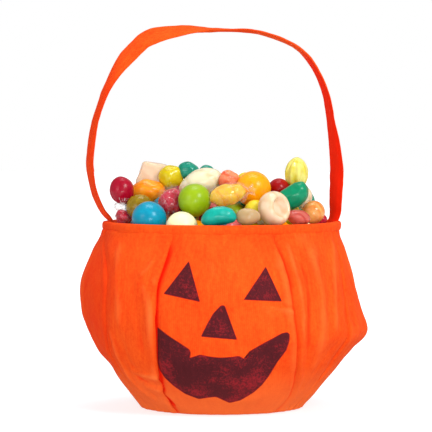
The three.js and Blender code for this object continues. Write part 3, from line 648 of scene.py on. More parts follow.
# %% Print the eyes, the nose and the mouth
for name, radius, points in (
    ("left_eye", 0.7, [(-21.9, 107.2), (-14.4, 80.2), (-38.9, 85.1)]),
    ("right_eye", 0.7, [(29.4, 103.4), (40.4, 80.0), (14.4, 81.6)]),
    ("nose", 0.9, [(-0.6, 78.2), (2, 78.2), (10.3, 55.0), (-14, 57.1), (-9.6, 66), (-5.6, 73)]),
    ("mouth", 0.9, [
        (-43, 62.8), (-35, 57), (-26.7, 51.8), (-21.6, 48.4), (-20.6, 46), (-21.4, 42.4), (-14.6, 44.9), (-8, 43.6),
        (-1.2, 42.9), (5, 43.2), (11.6, 44), (15.4, 41.7), (17.1, 42.3), (18, 46.9), (24, 50.4), (30.3, 53.8),
        (39.8, 58.8), (43.6, 59.6), (45.6, 58.2), (45.4, 53.6), (43.4, 47.2), (36.9, 38.4), (31.7, 29.2), (27, 22.8),
        (21.5, 17.6), (12.8, 12.1), (5.3, 10.2), (0, 12.8), (-3.7, 14.7), (-9, 14.2), (-15.4, 12.9), (-24.6, 16.4),
        (-32, 21.5), (-38.5, 27.6), (-42, 33), (-43, 38)]),
):
    printed_shape(name, points, radius)

# %% [markdown]
# ## The hem
# At the mouth the cloth turns in over a plastic hoop and is stitched through below it. The hoop fills the
# fold, so the hem is a soft flat band that ends in a small step. A profile is spun round the axis, and then
# pressed a little out of true, as a hem is that was sewn by hand.
#
# %% Spin the hem
def spun_mesh(section, steps, closed=False, weld=0.0005):
    """A section of (reach, height) points spun round the upright axis. A closed section makes a ring."""
    bm = bmesh.new()
    chain = [bm.verts.new((0, -max(reach, 0), height)) for reach, height in section]
    for pair in zip(chain, chain[1:] + chain[:1] * closed):
        bm.edges.new(pair)
    bmesh.ops.spin(bm, geom=bm.verts[:] + bm.edges[:], cent=(0, 0, 0), axis=(0, 0, 1), angle=math.tau, steps=steps,
                   use_merge=True)
    bmesh.ops.remove_doubles(bm, verts=bm.verts, dist=weld)
    bmesh.ops.recalc_face_normals(bm, faces=bm.faces)
    return bm


hem_reach, hem_inside, hem_middle, gore_top = 83, 77.5, 128, 122  # millimetres
hem_section = smooth_path([
    (80.6, 124.9), (82.0, 124.3), (82.6, 125.0), (82.95, 126.6), (82.9, 128.7), (82.1, 130.1), (80, 130.6),
    (77.9, 130.2), (77.0, 128.8), (76.8, 126.2), (76.9, 122.4), (77.3, 119.6), (78.2, 119.4), (78.9, 121.2),
    (79.6, 124.3), (80.6, 124.9)], 4)
hem = spun_mesh(hem_section[:-1], 288, closed=True)


# %% Press the hem out of true
def flat_hem(loop):
    """A corner's place on the flat hem: round the bag, and across the fold."""
    middle, corner = loop.face.calc_center_median(), loop.vert.co
    angle = math.atan2(corner.x, -corner.y)
    angle += math.tau * round((math.atan2(middle.x, -middle.y) - angle) / math.tau)
    return angle * hem_reach, corner.z + math.hypot(corner.x, corner.y)


def hem_press(co):
    """How the hem is out of true: slow waves, a dent at each seam, and a bump where the strap's ends push it."""
    seam_dent, seam_width, strap_bump, strap_width = 0.35, 1.6, 0.4, 5
    angle = math.atan2(co.x, -co.y)
    long_wave = noise.noise(Vector((co.x / 30, co.y / 30, 7)))
    press = 0.9 * long_wave + 0.4 * noise.noise(Vector((co.x / 7, co.y / 7, co.z / 9)))
    for index in range(len(seams)):
        away = (angle - float(seam_angle(index, gore_top)) + math.pi) % math.tau - math.pi
        press -= seam_dent * math.exp(-((away * hem_reach / seam_width) ** 2)) * (1 if co.z < hem_middle else 0.4)
    from_strap = min(abs(abs(angle) - math.pi / 2), 1) * hem_reach
    return press + strap_bump * math.exp(-((from_strap / strap_width) ** 2))


map_cloth(hem, flat_hem)
for vert in hem.verts:
    outward = Vector((vert.co.x, vert.co.y, 0)).normalized()
    outer = min(1, max(0, (outward.dot(vert.co) - hem_inside) / 4))
    press = hem_press(vert.co)
    vert.co += outward * press * outer + Vector((0, 0, 0.3 * press * outer))
hem_tree = BVHTree.FromBMesh(hem)
print("hem, corners:", len(hem.verts))
piece_from(hem, "hem_band", "bag", orange_cloth, ["rim_band"])

# %% [markdown]
# The stitches are short lengths of thread that dip in at both ends. One is shaped from a small ball, and 150
# copies stand round the hem, each a little uneven.
#
# %% Sew the hem
random.seed(4)
stitches = bmesh.new()
stitch_count, stitch_height, stitch_sunk, stitch_size = 150, 123.2, 0.15, (1.25, 0.32, 0.34, 1)
for number in range(stitch_count):
    angle = math.tau * (number + random.uniform(-0.1, 0.1)) / stitch_count
    height = stitch_height + random.uniform(-0.15, 0.15)
    outward = Vector((math.sin(angle), -math.cos(angle), 0))
    hit, _, _, _ = hem_tree.ray_cast(outward * 120 + Vector((0, 0, height + 0.7)), -outward)
    reach = (Vector((hit.x, hit.y, 0)).length if hit else 82.6) - stitch_sunk
    where = Matrix.Translation(outward * reach + Vector((0, 0, height + 0.5))) @ Matrix.Rotation(angle, 4, "Z")
    where = where @ Matrix.Rotation(random.uniform(-0.12, 0.12), 4, "Y") @ Matrix.Diagonal(stitch_size)
    bmesh.ops.create_uvsphere(stitches, u_segments=8, v_segments=6, radius=1, matrix=where)
stitches.loops.layers.uv.new("cloth")
print("stitches:", stitch_count)
piece_from(stitches, "hem_stitches", "bag", orange_thread)

# %% [markdown]
# ## The base
# A round piece of the same cloth closes the bag below. The gores are sewn to its edge and turned in, which
# leaves a groove round a slightly hollow disc.
#
# %% Make the base
base_section = smooth_path([(0.01, 0.9), (20, 0.8), (40, 0.45), (50, 0.1), (54, 0.15), (55.4, 1.0), (54.6, 2.2),
                            (50, 2.4), (0.01, 2.6)], 6)
base = spun_mesh(base_section, 144, weld=0.02)
map_cloth(base, lambda loop: loop.vert.co.xy)
for vert in base.verts:
    if vert.co.z < 1.2:
        vert.co.z += 0.25 + 0.25 * noise.noise(vert.co / 14) * min(1, vert.co.xy.length / 20)
print("base, corners:", len(base.verts))
piece_from(base, "base_disc", "bag", orange_cloth, ["base_panel"])

# %% [markdown]
# ## The strap
# The strap is a flat tube of the same cloth, 16 mm wide. It stands up by itself, bows out on the left and
# twists, so it looks broad in some places and thin in others. Its ends are sewn inside the hem. It is swept
# along a line ring by ring: each ring of the tube is turned by the twist at that place.
#
# %% Draw the strap's line and twist
strap_line = smooth_path([
    (-75.6, 112), (-75.7, 124), (-76.3, 129), (-78.8, 132.6), (-82.2, 136.6), (-86.0, 144), (-89.2, 153), (-91.4, 164),
    (-92.1, 177), (-89.2, 197.6), (-84.8, 213), (-80, 225), (-71.5, 239), (-59.5, 252), (-50, 258.8), (-29, 263),
    (-1, 263.8), (28.6, 261.6), (56.4, 249), (72, 224), (77.5, 197), (80.4, 172), (80.2, 158), (79.4, 147), (79, 138),
    (77.8, 132.4), (76.1, 129), (75.7, 124), (75.6, 112)], 8)
# The twist at shares of the strap's length: 90 is edge-on, less shows the outer face, more the inner one.
twist_points = [
    (0, 90), (0.03, 90), (0.055, 79), (0.1, 74), (0.16, 68), (0.24, 72), (0.29, 68), (0.34, 48), (0.4, 44),
    (0.46, 66), (0.5, 84), (0.56, 91), (0.66, 97), (0.74, 104), (0.82, 116), (0.88, 124), (0.93, 118),
    (0.965, 106), (0.98, 92), (1, 90)]
span = np.concatenate([[0], np.cumsum(np.linalg.norm(np.diff(strap_line, axis=0), axis=1))])
strap_length, half_width, squareness = float(span[-1]), 8, 0.75
groove_at, groove_width, groove_depth = 6.3, 0.7, 0.45  # the sewn line beside each edge
print("strap length, mm:", round(strap_length, 1))


# %% Sweep the strap
def strap_spot(along):
    """The strap's middle line at some lengths along it, as x and z."""
    return np.interp(along, span, strap_line[:, 0]), np.interp(along, span, strap_line[:, 1])


def strap_surface(u, v):
    """Lays the tube's rings along the strap's line."""
    along, turn = v * strap_length, u * math.tau
    x, z = strap_spot(along)
    (x_after, z_after), (x_before, z_before) = strap_spot(along + 2), strap_spot(along - 2)
    size = np.hypot(x_after - x_before, z_after - z_before)
    tangent = np.stack([(x_after - x_before) / size, 0 * x, (z_after - z_before) / size], axis=1)
    outward = np.stack([-tangent[:, 2], 0 * x, tangent[:, 0]], axis=1)
    twist = np.radians(np.interp(v, *zip(*twist_points)))
    wide = np.sin(twist)[:, None] * np.array([0, 1, 0]) + np.cos(twist)[:, None] * outward
    thick = np.cross(tangent, wide)
    ripple = noises(along / 16, 3, np.cos(turn) * 1.3)
    pucker = noises(along / 5, 9, np.cos(turn) * 2)
    half = half_width + 0.35 * np.sin(along / 19) + 0.25 * ripple
    flat = np.sign(np.cos(turn)) * np.abs(np.cos(turn)) ** squareness * half
    bulge = 1.0 + 0.175 * np.cos(2 * turn + math.pi)
    sewn_groove = 1 - groove_depth * np.exp(-(((np.abs(flat) - groove_at) / groove_width) ** 2))
    deep = np.sin(turn) * bulge * sewn_groove + 0.5 * ripple + 0.22 * pucker
    curl = 0.9 * (flat / half_width) ** 2 * np.sin(along / 31 + 1)
    return np.stack([x, 0 * x, z], axis=1) + wide * flat[:, None] + thick * (deep + curl)[:, None]


strap_grid, flat_girth = (32, 230), 36
strap_mesh = grid_mesh(*strap_grid, strap_surface, (flat_girth, strap_length), close=True)
open_ends = [edge for edge in strap_mesh.edges if edge.is_boundary]
bmesh.ops.holes_fill(strap_mesh, edges=open_ends, sides=0)
bmesh.ops.recalc_face_normals(strap_mesh, faces=strap_mesh.faces)
# The face that looks inwards on the right lies in shade, and that shade is painted: its relief is set as low
# as in a deep crease, so the material paints it crease red.
shaded_from, shaded_over, shaded_relief = 40, 30, -3.4  # millimetres
relief = strap_mesh.verts.layers.float.new("relief")
for vert in strap_mesh.verts:
    inward = max(0, -vert.normal.x) * max(0, min(1, (vert.co.x - shaded_from) / shaded_over))
    vert[relief] = shaded_relief * min(1, 1.5 * inward)
strap = piece_from(strap_mesh, "strap", None, orange_cloth,
                   ["handle_strap", "handle_tab_left", "handle_tab_right"])
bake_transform(strap)

# %% [markdown]
# ## Sugar
# Three finishes cover nearly all sweets. A gumball has an opaque, polished shell. A fruit jelly is clouded
# all through, so light goes in and comes out soft. Boiled sugar is clear, with streaks where it was pulled.
# One group makes the clouds and streaks, and each finish mixes its own two colours by them.
#
# %% Build the sugar's node group
sugar_group, given, result, place = new_group("sugar clouds", {"Cloud size": 120.0, "Streaks": 0.4}, [],
                                              ["Clouds", "Height"])
cloudy = noisy(place, given["Cloud size"], 3.0, distortion=0.6)
pulled = {"Vector": place, "Scale": 45.0, "Distortion": 9.0, "Detail": 2.0, "Detail Scale": 1.5}
pulled = put(sugar_group, "TexWave", pulled, bands_direction="DIAGONAL").outputs["Fac"]
feed(result, {"Clouds": ranged(add(cloudy, times(pulled, given["Streaks"])), 0.3, 1.0),
              "Height": add(cloudy, times(noisy(place, 900.0), 0.15))})
print("nodes in the sugar's group:", len(sugar_group.nodes))


# %% [markdown]
# Real sugar is partly clear, and light spreads inside it. Subsurface light does that for shells and jellies,
# and some transmission for boiled sugar. A thin coat gives the polish.
#
# %% Set up the sugar's material
def sugar_material(name, main, second, streaks=0.3, clouds=120.0, rough=0.2, soft=0.0, clear=0.0, bump=0.1):
    """A sweet's finish: soft is how far light spreads inside it, and clear how much light it lets pass."""
    material, tree, shader, _ = new_material(name)
    sugar = put(tree, "Group", node_tree=sugar_group)
    feed(sugar, {"Cloud size": clouds, "Streaks": streaks})
    height = {"Height": sugar.outputs["Height"], "Strength": bump, "Distance": 0.0008}
    feed(shader, {
        "Base Color": blend(sugar.outputs["Clouds"], tint(main), tint(second)),
        "Normal": put(tree, "Bump", height).outputs[0],
        "Roughness": rough, "IOR": 1.45, "Specular IOR Level": 0.2, "Coat Weight": 0.14, "Coat Roughness": 0.16,
        "Subsurface Weight": soft, "Subsurface Radius": (1.0, 0.8, 0.6), "Subsurface Scale": 0.005,
        "Transmission Weight": clear,
    })
    return material


# %% Colour the sugars
usual_finish = {
    "shell": {"streaks": 0.1, "rough": 0.3, "soft": 0.12, "bump": 0.05},
    "jelly": {"rough": 0.16, "soft": 0.7, "clear": 0.12, "bump": 0.25},
    "boiled": {"rough": 0.1, "soft": 0.45, "clear": 0.35, "streaks": 0.6},
}
sugar = {}
for name, main, second, changes in (
    ("blue shell", "0082a0", "009cba", {}),
    ("cream shell", "f4edb4", "f8f3c6", {"rough": 0.32}),
    ("lime shell", "86a606", "98b416", {}),
    ("orange shell", "fc9802", "ffaa10", {"soft": 0.3}),
    ("yellow shell", "e4cc24", "ecd84a", {"soft": 0.3}),
    ("emerald shell", "008058", "009468", {"bump": 0.2}),
    ("teal shell", "009080", "12b0a0", {"bump": 0.4, "clouds": 160.0}),
    ("red shell", "980020", "a80228", {"soft": 0.3}),
    ("dark red shell", "980006", "ac040a", {}),
    ("rose shell", "dc5a60", "e87c7c", {}),
    ("salmon jelly", "e85c38", "f29068", {"streaks": 0.7}),
    ("yellow jelly", "ccb606", "decc22", {}),
    ("orange jelly", "f08406", "fca022", {"streaks": 0.5}),
    ("olive jelly", "967806", "aa8c14", {"clear": 0.3}),
    ("teal jelly", "0a846c", "2aa088", {}),
    ("peach jelly", "e4c6a4", "f4dec2", {"rough": 0.35, "clear": 0.25}),
    ("ivory jelly", "d8cb9e", "ebe2c2", {"streaks": 0.8, "rough": 0.14}),
    ("tan jelly", "be9e6c", "d0b488", {"clear": 0.3}),
    ("lime jelly", "a4b820", "bccc48", {}),
    ("rose boiled", "c23c34", "dc7062", {"streaks": 1.0, "clouds": 260.0}),
    ("amber boiled", "ec8a30", "f8b468", {"clear": 0.3}),
    ("ivory boiled", "e6bc90", "f2d8b8", {"clear": 0.2, "streaks": 0.5}),
    ("lemon boiled", "dccc3c", "ece47c", {"clear": 0.15}),
    ("golden boiled", "f2a80c", "ffcc3a", {"streaks": 0.9, "clouds": 200.0}),
    ("crimson boiled", "b0021c", "d8304a", {"streaks": 0.9}),
):
    sugar[name] = sugar_material(name, main, second, **{**usual_finish[name.split()[-1]], **changes})
print("finishes for sugar:", len(sugar))


# %% [markdown]
# The wrappers are thin clear film. Glass would be slow and dark, so the film is mostly see-through by Alpha,
# and shows only along its creases, which are the edges of a cell pattern. There it shows white, which is
# painted glint: the creases are the film's own, and their white stands for the light they catch.
#
# %% Finish the film
def film_material(name, least, most):
    """Clear crinkled film, whose creases show more than its flat parts, white as painted glints. Both values are how
    much of it shows.
    """
    material, tree, shader, place = new_material(name)
    crinkle = {"Vector": place, "Scale": 260.0}
    crinkle = put(tree, "TexVoronoi", crinkle, feature="DISTANCE_TO_EDGE").outputs["Distance"]
    feed(shader, {
        "Normal": put(tree, "Bump", {"Height": crinkle, "Strength": 0.6, "Distance": 0.001}).outputs[0],
        "Alpha": ranged(crinkle, 0.0, 0.12, most, least),
        "Base Color": tint("f6f4f2"), "Roughness": 0.12, "Specular IOR Level": 0.9, "Coat Weight": 0.6,
    })
    return material


film = film_material("clear wrapper film", 0.02, 0.09)
# The bunched film shows far more white along its creases: painted glints in the bunch under the raspberry ball.
bunched_film = film_material("bunched wrapper film", 0.12, 0.75)


# %% [markdown]
# ## Shapes of sweets
# Most sweets start as a ball and are pressed into shape by moving its corners. Moulded ones are spun from a
# profile. Every sweet keeps the place and size of its solid, and gets the small unevenness of poured sugar.
#
# %% Balls and beans
def uneven(bm, amount, size, seed):
    """Moves each corner in or out a little, as cooling sugar does."""
    for vert in bm.verts:
        vert.co += vert.co.normalized() * amount * noise.noise(vert.co / size + Vector((seed, seed * 2, 3)))


def ball(seed, a, b=None, c=None, detail=4, dent=0.12):
    """A gumball, or an oval jelly where three half sizes are given."""
    bm = bmesh.new()
    bmesh.ops.create_icosphere(bm, subdivisions=detail, radius=1)
    bmesh.ops.scale(bm, vec=(a, b or a, c or a), verts=bm.verts)
    uneven(bm, dent, a * 0.8, seed)
    return bm


def bean(seed, length, radius, bend, dent=0.3):
    """A jelly bean: plump at both ends and bent along its length."""
    bm = bmesh.new()
    bmesh.ops.create_icosphere(bm, subdivisions=4, radius=1)
    for vert in bm.verts:
        x, y, z = vert.co
        plump = radius * (1 + 0.28 * x * x)
        vert.co = (x * length / 2, y * plump, z * plump - bend * x * x)
    uneven(bm, dent, 4.0, seed)
    return bm


# %% Moulded and cut sweets
def spun(seed, section, sides):
    """A moulded sweet, spun round its upright axis from a section that starts and ends on it."""
    bm = spun_mesh(smooth_path(section, 5), 48)
    bmesh.ops.scale(bm, vec=sides, verts=bm.verts)
    uneven(bm, 0.1, 5.0, seed)
    return bm


def recessed(seed, a, b, c):
    """An oval tablet with a hollow in both faces and a rounded rim round each."""
    half = [(0, 0.42), (0.3, 0.46), (0.46, 0.66), (0.56, 0.9), (0.66, 1.0), (0.8, 0.9), (0.93, 0.56), (1, 0)]
    points = [(r, -z) for r, z in half[:-1]] + [(1, 0)] + [(r, z) for r, z in reversed(half[:-1])]
    return spun(seed, points, (a, b, c))


def block(seed, length, depth, height):
    """A cut block of jelly with rounded edges, wider below than above, and sagging a little."""
    bm = bmesh.new()
    bmesh.ops.create_cube(bm, size=1)
    for vert in bm.verts:
        taper = 0.74 if vert.co.z > 0 else 1.0
        vert.co = (vert.co.x * length * taper, vert.co.y * depth * taper, vert.co.z * height)
    bmesh.ops.bevel(bm, geom=bm.edges[:], offset=2.6, affect="EDGES", segments=6, profile=0.5, material=-1)
    bmesh.ops.subdivide_edges(bm, edges=bm.edges[:], cuts=2, use_grid_fill=True)
    uneven(bm, 0.7, 6.0, seed)
    return bm


def lemon(seed, radius, length, flutes):
    """A pointed drop with flutes along it."""
    bm = bmesh.new()
    bmesh.ops.create_uvsphere(bm, u_segments=flutes * 8, v_segments=28, radius=1)
    for vert in bm.verts:
        x, y, z = vert.co
        turn = math.atan2(y, x)
        width = radius * math.hypot(x, y) ** 1.15 * (1 + 0.09 * math.cos(flutes * turn)) / 1.04
        vert.co = (width * math.cos(turn), width * math.sin(turn), z * length / 2)
    uneven(bm, 0.15, 4.0, seed)
    return bm


# %% Twisted wrappers
def wrapper(seed, radius, core_length, tail):
    """Clear film round a sweet, gathered at two necks and fanned out at both ends."""
    half = core_length / 2
    one_end = [(half * 0.35, radius * 1.02), (half * 0.8, radius * 0.72), (half + 0.4, radius * 0.24),
               (half + tail * 0.45, tail * 0.42), (half + tail, tail * 0.72)]
    line = smooth_path([(-along, width) for along, width in reversed(one_end)] + one_end, 6)

    def place(u, v):
        spot, steps, turn = v * (len(line) - 1), np.arange(len(line)), u * math.tau
        along, width = np.interp(spot, steps, line[:, 0]), np.interp(spot, steps, line[:, 1])
        loose = np.clip((np.abs(along) - half * 0.5) / (half * 0.5), 0, 1)
        pleats = np.cos(11 * turn + seed + along * 0.25) * (0.03 + 0.3 * loose)
        crumple = noises(np.cos(turn) * 2, np.sin(turn) * 2, along / 3 + seed)
        width = width * (1 + pleats + 0.1 * crumple) + 0.15
        return np.stack([width * np.cos(turn), width * np.sin(turn), along], axis=1)

    return grid_mesh(66, 48, place, close=True)


# %% [markdown]
# Each sweet is turned by the angles listed with it. The solid's box gives its middle, so a sweet that is moved in the
# solid model takes its dressed shape along.
#
# %% Set a sweet on its solid
def turned(degrees):
    """The rotation of three angles, about x, then the turned y, then the turned z."""
    x, y, z = (math.radians(d) for d in degrees)
    return Matrix.Rotation(x, 4, "X") @ Matrix.Rotation(y, 4, "Y") @ Matrix.Rotation(z, 4, "Z")


def body_of_node(node):
    """The body that a solid rides on."""
    groups = frame["record"]["behaviour"]["bodies"]
    return next(body for body, members in groups.items() if node in members)


odd_slots = {"crimson boiled": "red", "dark red shell": "red", "golden boiled": "yellow", "orange jelly": "amber",
             "lemon_gumball": "lemon"}


def slot_of(finish, node=None):
    """The solid model's name for the material that a finish dresses: nearly always the finish's own colour."""
    return odd_slots.get(node, odd_slots.get(finish, finish.split()[0])) + "_sweet"


def dress(node, material, slot, bm, turn=(0, 0, 0), nudge=(0, 0, 0), name=None, keep_node=False):
    """Turns a sweet, moves its middle to its solid's middle, or a nudge beside it, and lets it ride along."""
    bmesh.ops.transform(bm, matrix=turned(turn), verts=bm.verts)
    low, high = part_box(node)
    corners = np.array([v.co for v in bm.verts])
    shift = Vector((low + high) / 2) * 1000 - Vector((corners.min(0) + corners.max(0)) / 2)
    bmesh.ops.translate(bm, vec=shift + Vector(nudge), verts=bm.verts)
    piece_from(bm, name or node + "_sugar", body_of_node(node), material, [] if keep_node else [node])


# %% Make the sweets that lie on top
straight = (0, 0, 0)
for node, finish, bm, *where in (
    ("blue_gumball", "blue shell", ball(1, 11.9), straight, (-0.8, 0, -3)),
    ("cream_gumball", "cream shell", ball(2, 10.9), straight, (-1.6, 0, -3.8)),
    ("teal_jelly_bean", "teal shell", bean(3, 24, 6.2, 2, 0.5), (0, -8, 4)),
    ("tan_fruit_drop", "tan jelly", ball(4, 8.4, 6.5, 5.8, dent=0.8)),
    ("ivory_hard_sweet", "ivory boiled", recessed(5, 11.4, 12.2, 7), (74, 42, 10), (0.6, 0, 0)),
    ("rose_streaked_sweet", "rose boiled", ball(6, 8.8, 7, 5.4, dent=0.7), (0, 12, 30)),
    ("amber_ball", "amber boiled", ball(7, 8, dent=0.3)),
    ("small_red_drop", "crimson boiled", ball(8, 4)),
    ("emerald_gumball", "emerald shell", ball(9, 9.5)),
    ("lemon_gumball", "yellow shell", ball(10, 11)),
    ("red_gumball", "red shell", ball(11, 11.5)),
    ("amber_hard_sweet", "amber boiled", recessed(12, 12, 11, 6.5), (38, 0, 0)),
    ("lime_jelly_bean", "lime shell", bean(13, 25, 6.6, 2.4), (10, 0, -20)),
    ("salmon_gumball", "salmon jelly", ball(14, 11.5)),
    ("blue_back_gumball", "blue shell", ball(15, 10)),
    ("lime_gumball", "lime shell", ball(16, 11.4), straight, (1.1, 0, 1.6)),
    ("yellow_ball", "yellow shell", ball(17, 7.6), straight, (3.6, 0, -1.2)),
    ("olive_fruit_disc", "olive jelly", ball(18, 9.2, 8.8, 7.4, dent=0.4), (52, -20, 0), (1.2, 0, -3.4)),
    ("red_ball", "red shell", ball(19, 8.4, 8.2, 9.8, dent=0.5), (0, -14, 0), (-1.8, 0, -3.6)),
    ("emerald_jelly_bean", "emerald shell", bean(20, 24.5, 7.8, -1.8, 0.6), (0, -32, -8), (0.6, 0, -1.2)),
    ("orange_gumball", "orange shell", ball(21, 12.4), straight, (-0.3, 0, 0.4)),
    ("teal_gumball", "teal jelly", ball(22, 10.5)),
    ("yellow_gumball", "yellow shell", ball(23, 6.2)),
    ("rose_jelly_bean", "rose shell", bean(24, 24, 6.8, 2.4), (0, -12, 30)),
    ("orange_fruit_jelly", "orange jelly", ball(25, 12.4, 9, 9.6, dent=1.9), (10, -4, 0), (-2, 0, -1.8)),
    ("lime_fruit_drop", "lime jelly", ball(26, 11, 9, 7.5, dent=0.8), (0, -10, 40)),
    ("ivory_fruit_oval", "ivory jelly", ball(27, 16, 10, 9.4, dent=1.3), (12, -22, 0), (1.4, 0, -2.2)),
    ("salmon_fruit_drop", "salmon jelly", ball(28, 7.4, 6, 7, dent=0.9), straight, (0, 0, 1)),
    ("dark_red_drop", "dark red shell", ball(29, 7.6), straight, (0.8, 0, 1)),
    ("amber_fruit_jelly", "orange jelly", ball(30, 12, 9.5, 8, dent=1.0), (0, 8, 20)),
    ("ivory_gumball", "cream shell", ball(31, 9)),
    ("yellow_fruit_jelly", "yellow jelly", ball(32, 9.2, 7.6, 8.2, dent=1.8), (0, -38, 10), (-1.6, 0, -2.6)),
    ("peach_gumdrop", "peach jelly", block(33, 24, 13, 17), (4, 11, 0), (2, 1, 0.4)),
    ("lemon_drop", "lemon boiled", lemon(34, 8, 24, 9), (8, 4, 0), (-1.2, 0, -1.4)),
    ("teal_fruit_drop", "teal jelly", ball(35, 7.6, 5.6, 6.4, dent=0.9), (0, 16, 0), (-3, 0, -1)),
    ("small_teal_drop", "teal jelly", ball(36, 5.6, dent=0.5), straight, (-1.5, 0, 0)),
):
    dress(node, sugar[finish], slot_of(finish, node), bm, *where)

# %% Make the wrapped sweets
film_gap = 0.93  # a sweet's share of the radius of its film
for node, radius, length, tail, turn, finish in (
    ("red_wrapped_sweet", 6, 12, 5, (70, 10, 0), "crimson boiled"),
    ("rose_wrapped_sweet", 9.4, 21, 4.5, (-50, 0, 12), "crimson boiled"),
    ("yellow_wrapped_sweet", 7.8, 27, 5, (0, 78, 6), "golden boiled"),
    ("peach_wrapped_sweet", 8, 17, 6, (90, 0, -50), "peach jelly"),
):
    seed = len(node)
    barrel = ball(seed, radius * film_gap, radius * film_gap, length * 0.47, dent=1.1)
    dress(node, sugar[finish], slot_of(finish), barrel, turn)
    dress(node, film, None, wrapper(seed, radius, length, tail), turn, name=node + "_film", keep_node=True)

# The raspberry ball is still in its film, which hangs below it in a bunch.
dress("red_ball", bunched_film, None, wrapper(5, 5.5, 5, 5), (12, 8, 0), (-1.5, -2, -15), "red_ball_film", True)
print("meshes so far:", len(bpy.data.meshes))

# %% [markdown]
# ## The sweets below
# Between the ones on top, more sweets show. The solid model has them as one heap with some balls that stand
# out of it. Here all of those balls get sugar of their own.
#
# %% Pack the sweets below
rim_reach, heap_top, heap_foot = 73.7, 157.0, 113.0


def heap_height(x, y):
    """The heap's slope, which is blunter at the sides than at the front, and steeper at the back."""
    front_power, side_power, back_squeeze = 1.2, 3.0, 1.3
    away = np.hypot(x, np.where(y > 0, y * back_squeeze, y))
    power = front_power + (side_power - front_power) * (x / np.maximum(away, 1e-6)) ** 6
    return heap_top + (heap_foot - heap_top) * np.clip(away / rim_reach, 0, 1) ** power


# Each ball that stands out: its place, its size and how far its middle is over the slope.
standing_out = [(-2, -61, 10, 1), (18, -60, 10, -1), (39, -49, 10, 2), (55, -34, 9, 1), (63, -16, 8, -1),
                (45, -22, 10, -2), (55, -2, 9, 9)]
usual_size, usual_rise = 10, -4
# Two arcs of them at the back: their reach, first angle, step and number.
for reach, first, step, number in ((57, 108, 29, 6), (32, 105, 50, 4)):
    for angle in (math.radians(first + step * i) for i in range(number)):
        standing_out.append((reach * math.sin(angle), -reach * math.cos(angle), usual_size, usual_rise))
balls = []
for x, y, size, rise in standing_out:
    inside = min(1, (rim_reach - size) / math.hypot(x, y))
    balls.append((x * inside, y * inside, float(heap_height(x * inside, y * inside)) + rise, size))

# The sweets between them lie in the spiral in which a sunflower sets its seeds, as in the solid model.
packed_count, packed_size, seed_angle = 58, 9.5, 137.5
packed = list(balls)
for number in range(packed_count):
    angle = math.radians(seed_angle * number)
    reach = (rim_reach - packed_size) * math.sqrt((number + 0.5) / packed_count)
    x, y = reach * math.sin(angle), -reach * math.cos(angle)
    if all(math.hypot(x - other[0], y - other[1]) > other[2] for other in standing_out):
        packed.append((x, y, float(heap_height(x, y)) - packed_size, packed_size))
print("sweets below:", len(packed))

# %% [markdown]
# They are made one mesh for each finish, and each ball is pressed a little out of round.
#
# %% Make the sweets below
source = np.random.RandomState(11)
below_finishes = ["blue shell", "lime shell", "orange shell", "cream shell", "crimson boiled", "yellow jelly",
                  "ivory jelly", "amber boiled", "emerald shell", "salmon jelly", "rose shell", "teal shell"]
for number, finish in enumerate(below_finishes):
    heap = bmesh.new()
    for x, y, z, size in packed[number :: len(below_finishes)]:
        shape = Matrix.Diagonal((1.0, source.uniform(0.85, 1.0), source.uniform(0.9, 1.0), 1))
        at = Matrix.Translation((x, y, z)) @ Matrix.Rotation(source.uniform(0, 6), 4, "Z")
        bmesh.ops.create_icosphere(heap, subdivisions=3, radius=1, matrix=at @ shape @ Matrix.Scale(size, 4))
    uneven(heap, 0.3, 6.0, number)
    piece_from(heap, "sweets_below_" + slot_of(finish), "bag", sugar[finish], ["buried_candy"])


# %% [markdown]
# Below the sweets lies a plain dark slope, so that nobody looks into an empty bag through a gap. Its dark
# colour is painted shade: it stands for the sweets deep in the gaps, where they lie in shade. Its grid runs
# round backwards, because only then do its faces point up.
#
# %% Close the gaps between them
def slope_below(u, v):
    """The dark slope, six millimetres below the heap's own, closed at the rim by a fall to the cloth."""
    below_heap, falling_rows, fall = 6, 0.12, 30
    angle, outward = -u * math.tau, v * (1 + falling_rows)
    away = np.minimum(outward, 1) * rim_reach
    x, y = away * np.sin(angle), -away * np.cos(angle)
    fallen = fall * np.clip(outward - 1, 0, 1) / falling_rows
    return np.stack([x, y, heap_height(x, y) - below_heap - fallen], axis=1)


# Painted shade: the buried sugar is coloured darker than the sweets on top, as sweets deep down lie in shade.
buried_sugar = sugar_material("buried sugar", "8a5a1c", "c8902c", clouds=90.0, rough=0.4, soft=0.2)
slope = grid_mesh(64, 24, slope_below, close=True)
print("slope, faces that point down:", sum(face.normal.z < -0.01 for face in slope.faces), "of", len(slope.faces))
piece_from(slope, "buried_slope", "bag", buried_sugar, ["buried_candy"])

# %% [markdown]
# ## The hoop
# The hoop can't be seen inside the hem, so its solid stays as it is, with the finish of plain plastic strip.
#
# %% Finish the hoop
hoop_plastic, _, hoop_shader, place = new_material("white hoop plastic")
hoop_colour = blend(noisy(place, 300.0), tint("dcdcd8"), tint("ececea"))
feed(hoop_shader, {"Base Color": hoop_colour, "Roughness": 0.45})
hoop = frame["nodes"]["rim_hoop"]
hoop.data.materials.clear()
hoop.data.materials.append(hoop_plastic)

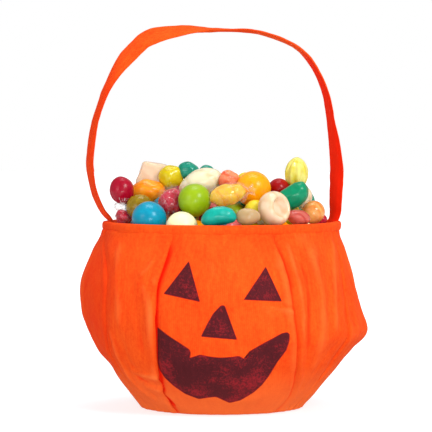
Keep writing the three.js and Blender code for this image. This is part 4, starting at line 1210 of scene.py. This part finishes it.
# %% [markdown]
# ## Light and floor
# The basket stands on a pale sweep under large soft lamps. The key lamp is at the front right, the fill at the
# left, one lights the foot and one the top of the heap. The floor looks white to the camera, and still takes
# the soft shadow at the foot. It glows less close to the basket, and less towards the basket itself.
#
# %% Make the floor and the room
white, white_tree, white_shader, place = new_material("white sweep")
rays = put(white_tree, "LightPath").outputs
seen = larger(larger(rays["Is Camera Ray"], rays["Is Glossy Ray"]), rays["Is Transmission Ray"])
from_middle = put(white_tree, "VectorMath", {0: place}, operation="LENGTH").outputs["Value"]
# The floor's blue-grey is painted against the orange light that the bag throws on it, so its shadow stays grey.
feed(white_shader, {
    "Base Color": (0.36, 0.4, 0.42, 1), "Roughness": 0.9, "Emission Color": (1, 1, 1, 1),
    "Emission Strength": times(ranged(seen, 0.0, 1.0, 0.45), ranged(from_middle, 0.15, 0.7, 0.73)),
})
floor_mesh = bmesh.new()
bmesh.ops.create_circle(floor_mesh, cap_ends=True, segments=96, radius=8000)
floor = piece_from(floor_mesh, "floor", None, white)

world = bpy.data.worlds.new("white room")
world.use_nodes = True
bpy.context.scene.world = world
rays = put(world.node_tree, "LightPath").outputs
shown = larger(rays["Is Camera Ray"], rays["Is Transmission Ray"])
feed(world.node_tree.nodes["Background"], {"Strength": ranged(shown, 0.0, 1.0, 0.55), "Color": (1, 1, 1, 1)})


# %% Set up the lamps
def lamp(name, spot, aim, size, power):
    """A square soft lamp that looks at a point. Places and sizes are in metres, and power is in watts."""
    light = bpy.data.lights.new(name, "AREA")
    light.size, light.energy = size, power
    stand = bpy.data.objects.new(name, light)
    stand.location = spot
    stand.rotation_euler = (Vector(aim) - Vector(spot)).to_track_quat("-Z", "Y").to_euler()
    bpy.context.scene.collection.objects.link(stand)


lamp("key", (0.75, -1.0, 0.95), (0, 0, 0.1), 0.5, 13.8)
lamp("fill", (-0.9, -0.9, 0.5), (0, 0, 0.1), 0.6, 3.8)
lamp("low", (0.15, -1.1, 0.03), (0, 0, 0.03), 0.35, 5.0)
lamp("top", (0.0, 0.1, 1.2), (0, 0, 0.15), 0.6, 5)
print("lamps, watts:", [round(light.energy, 1) for light in bpy.data.lights])
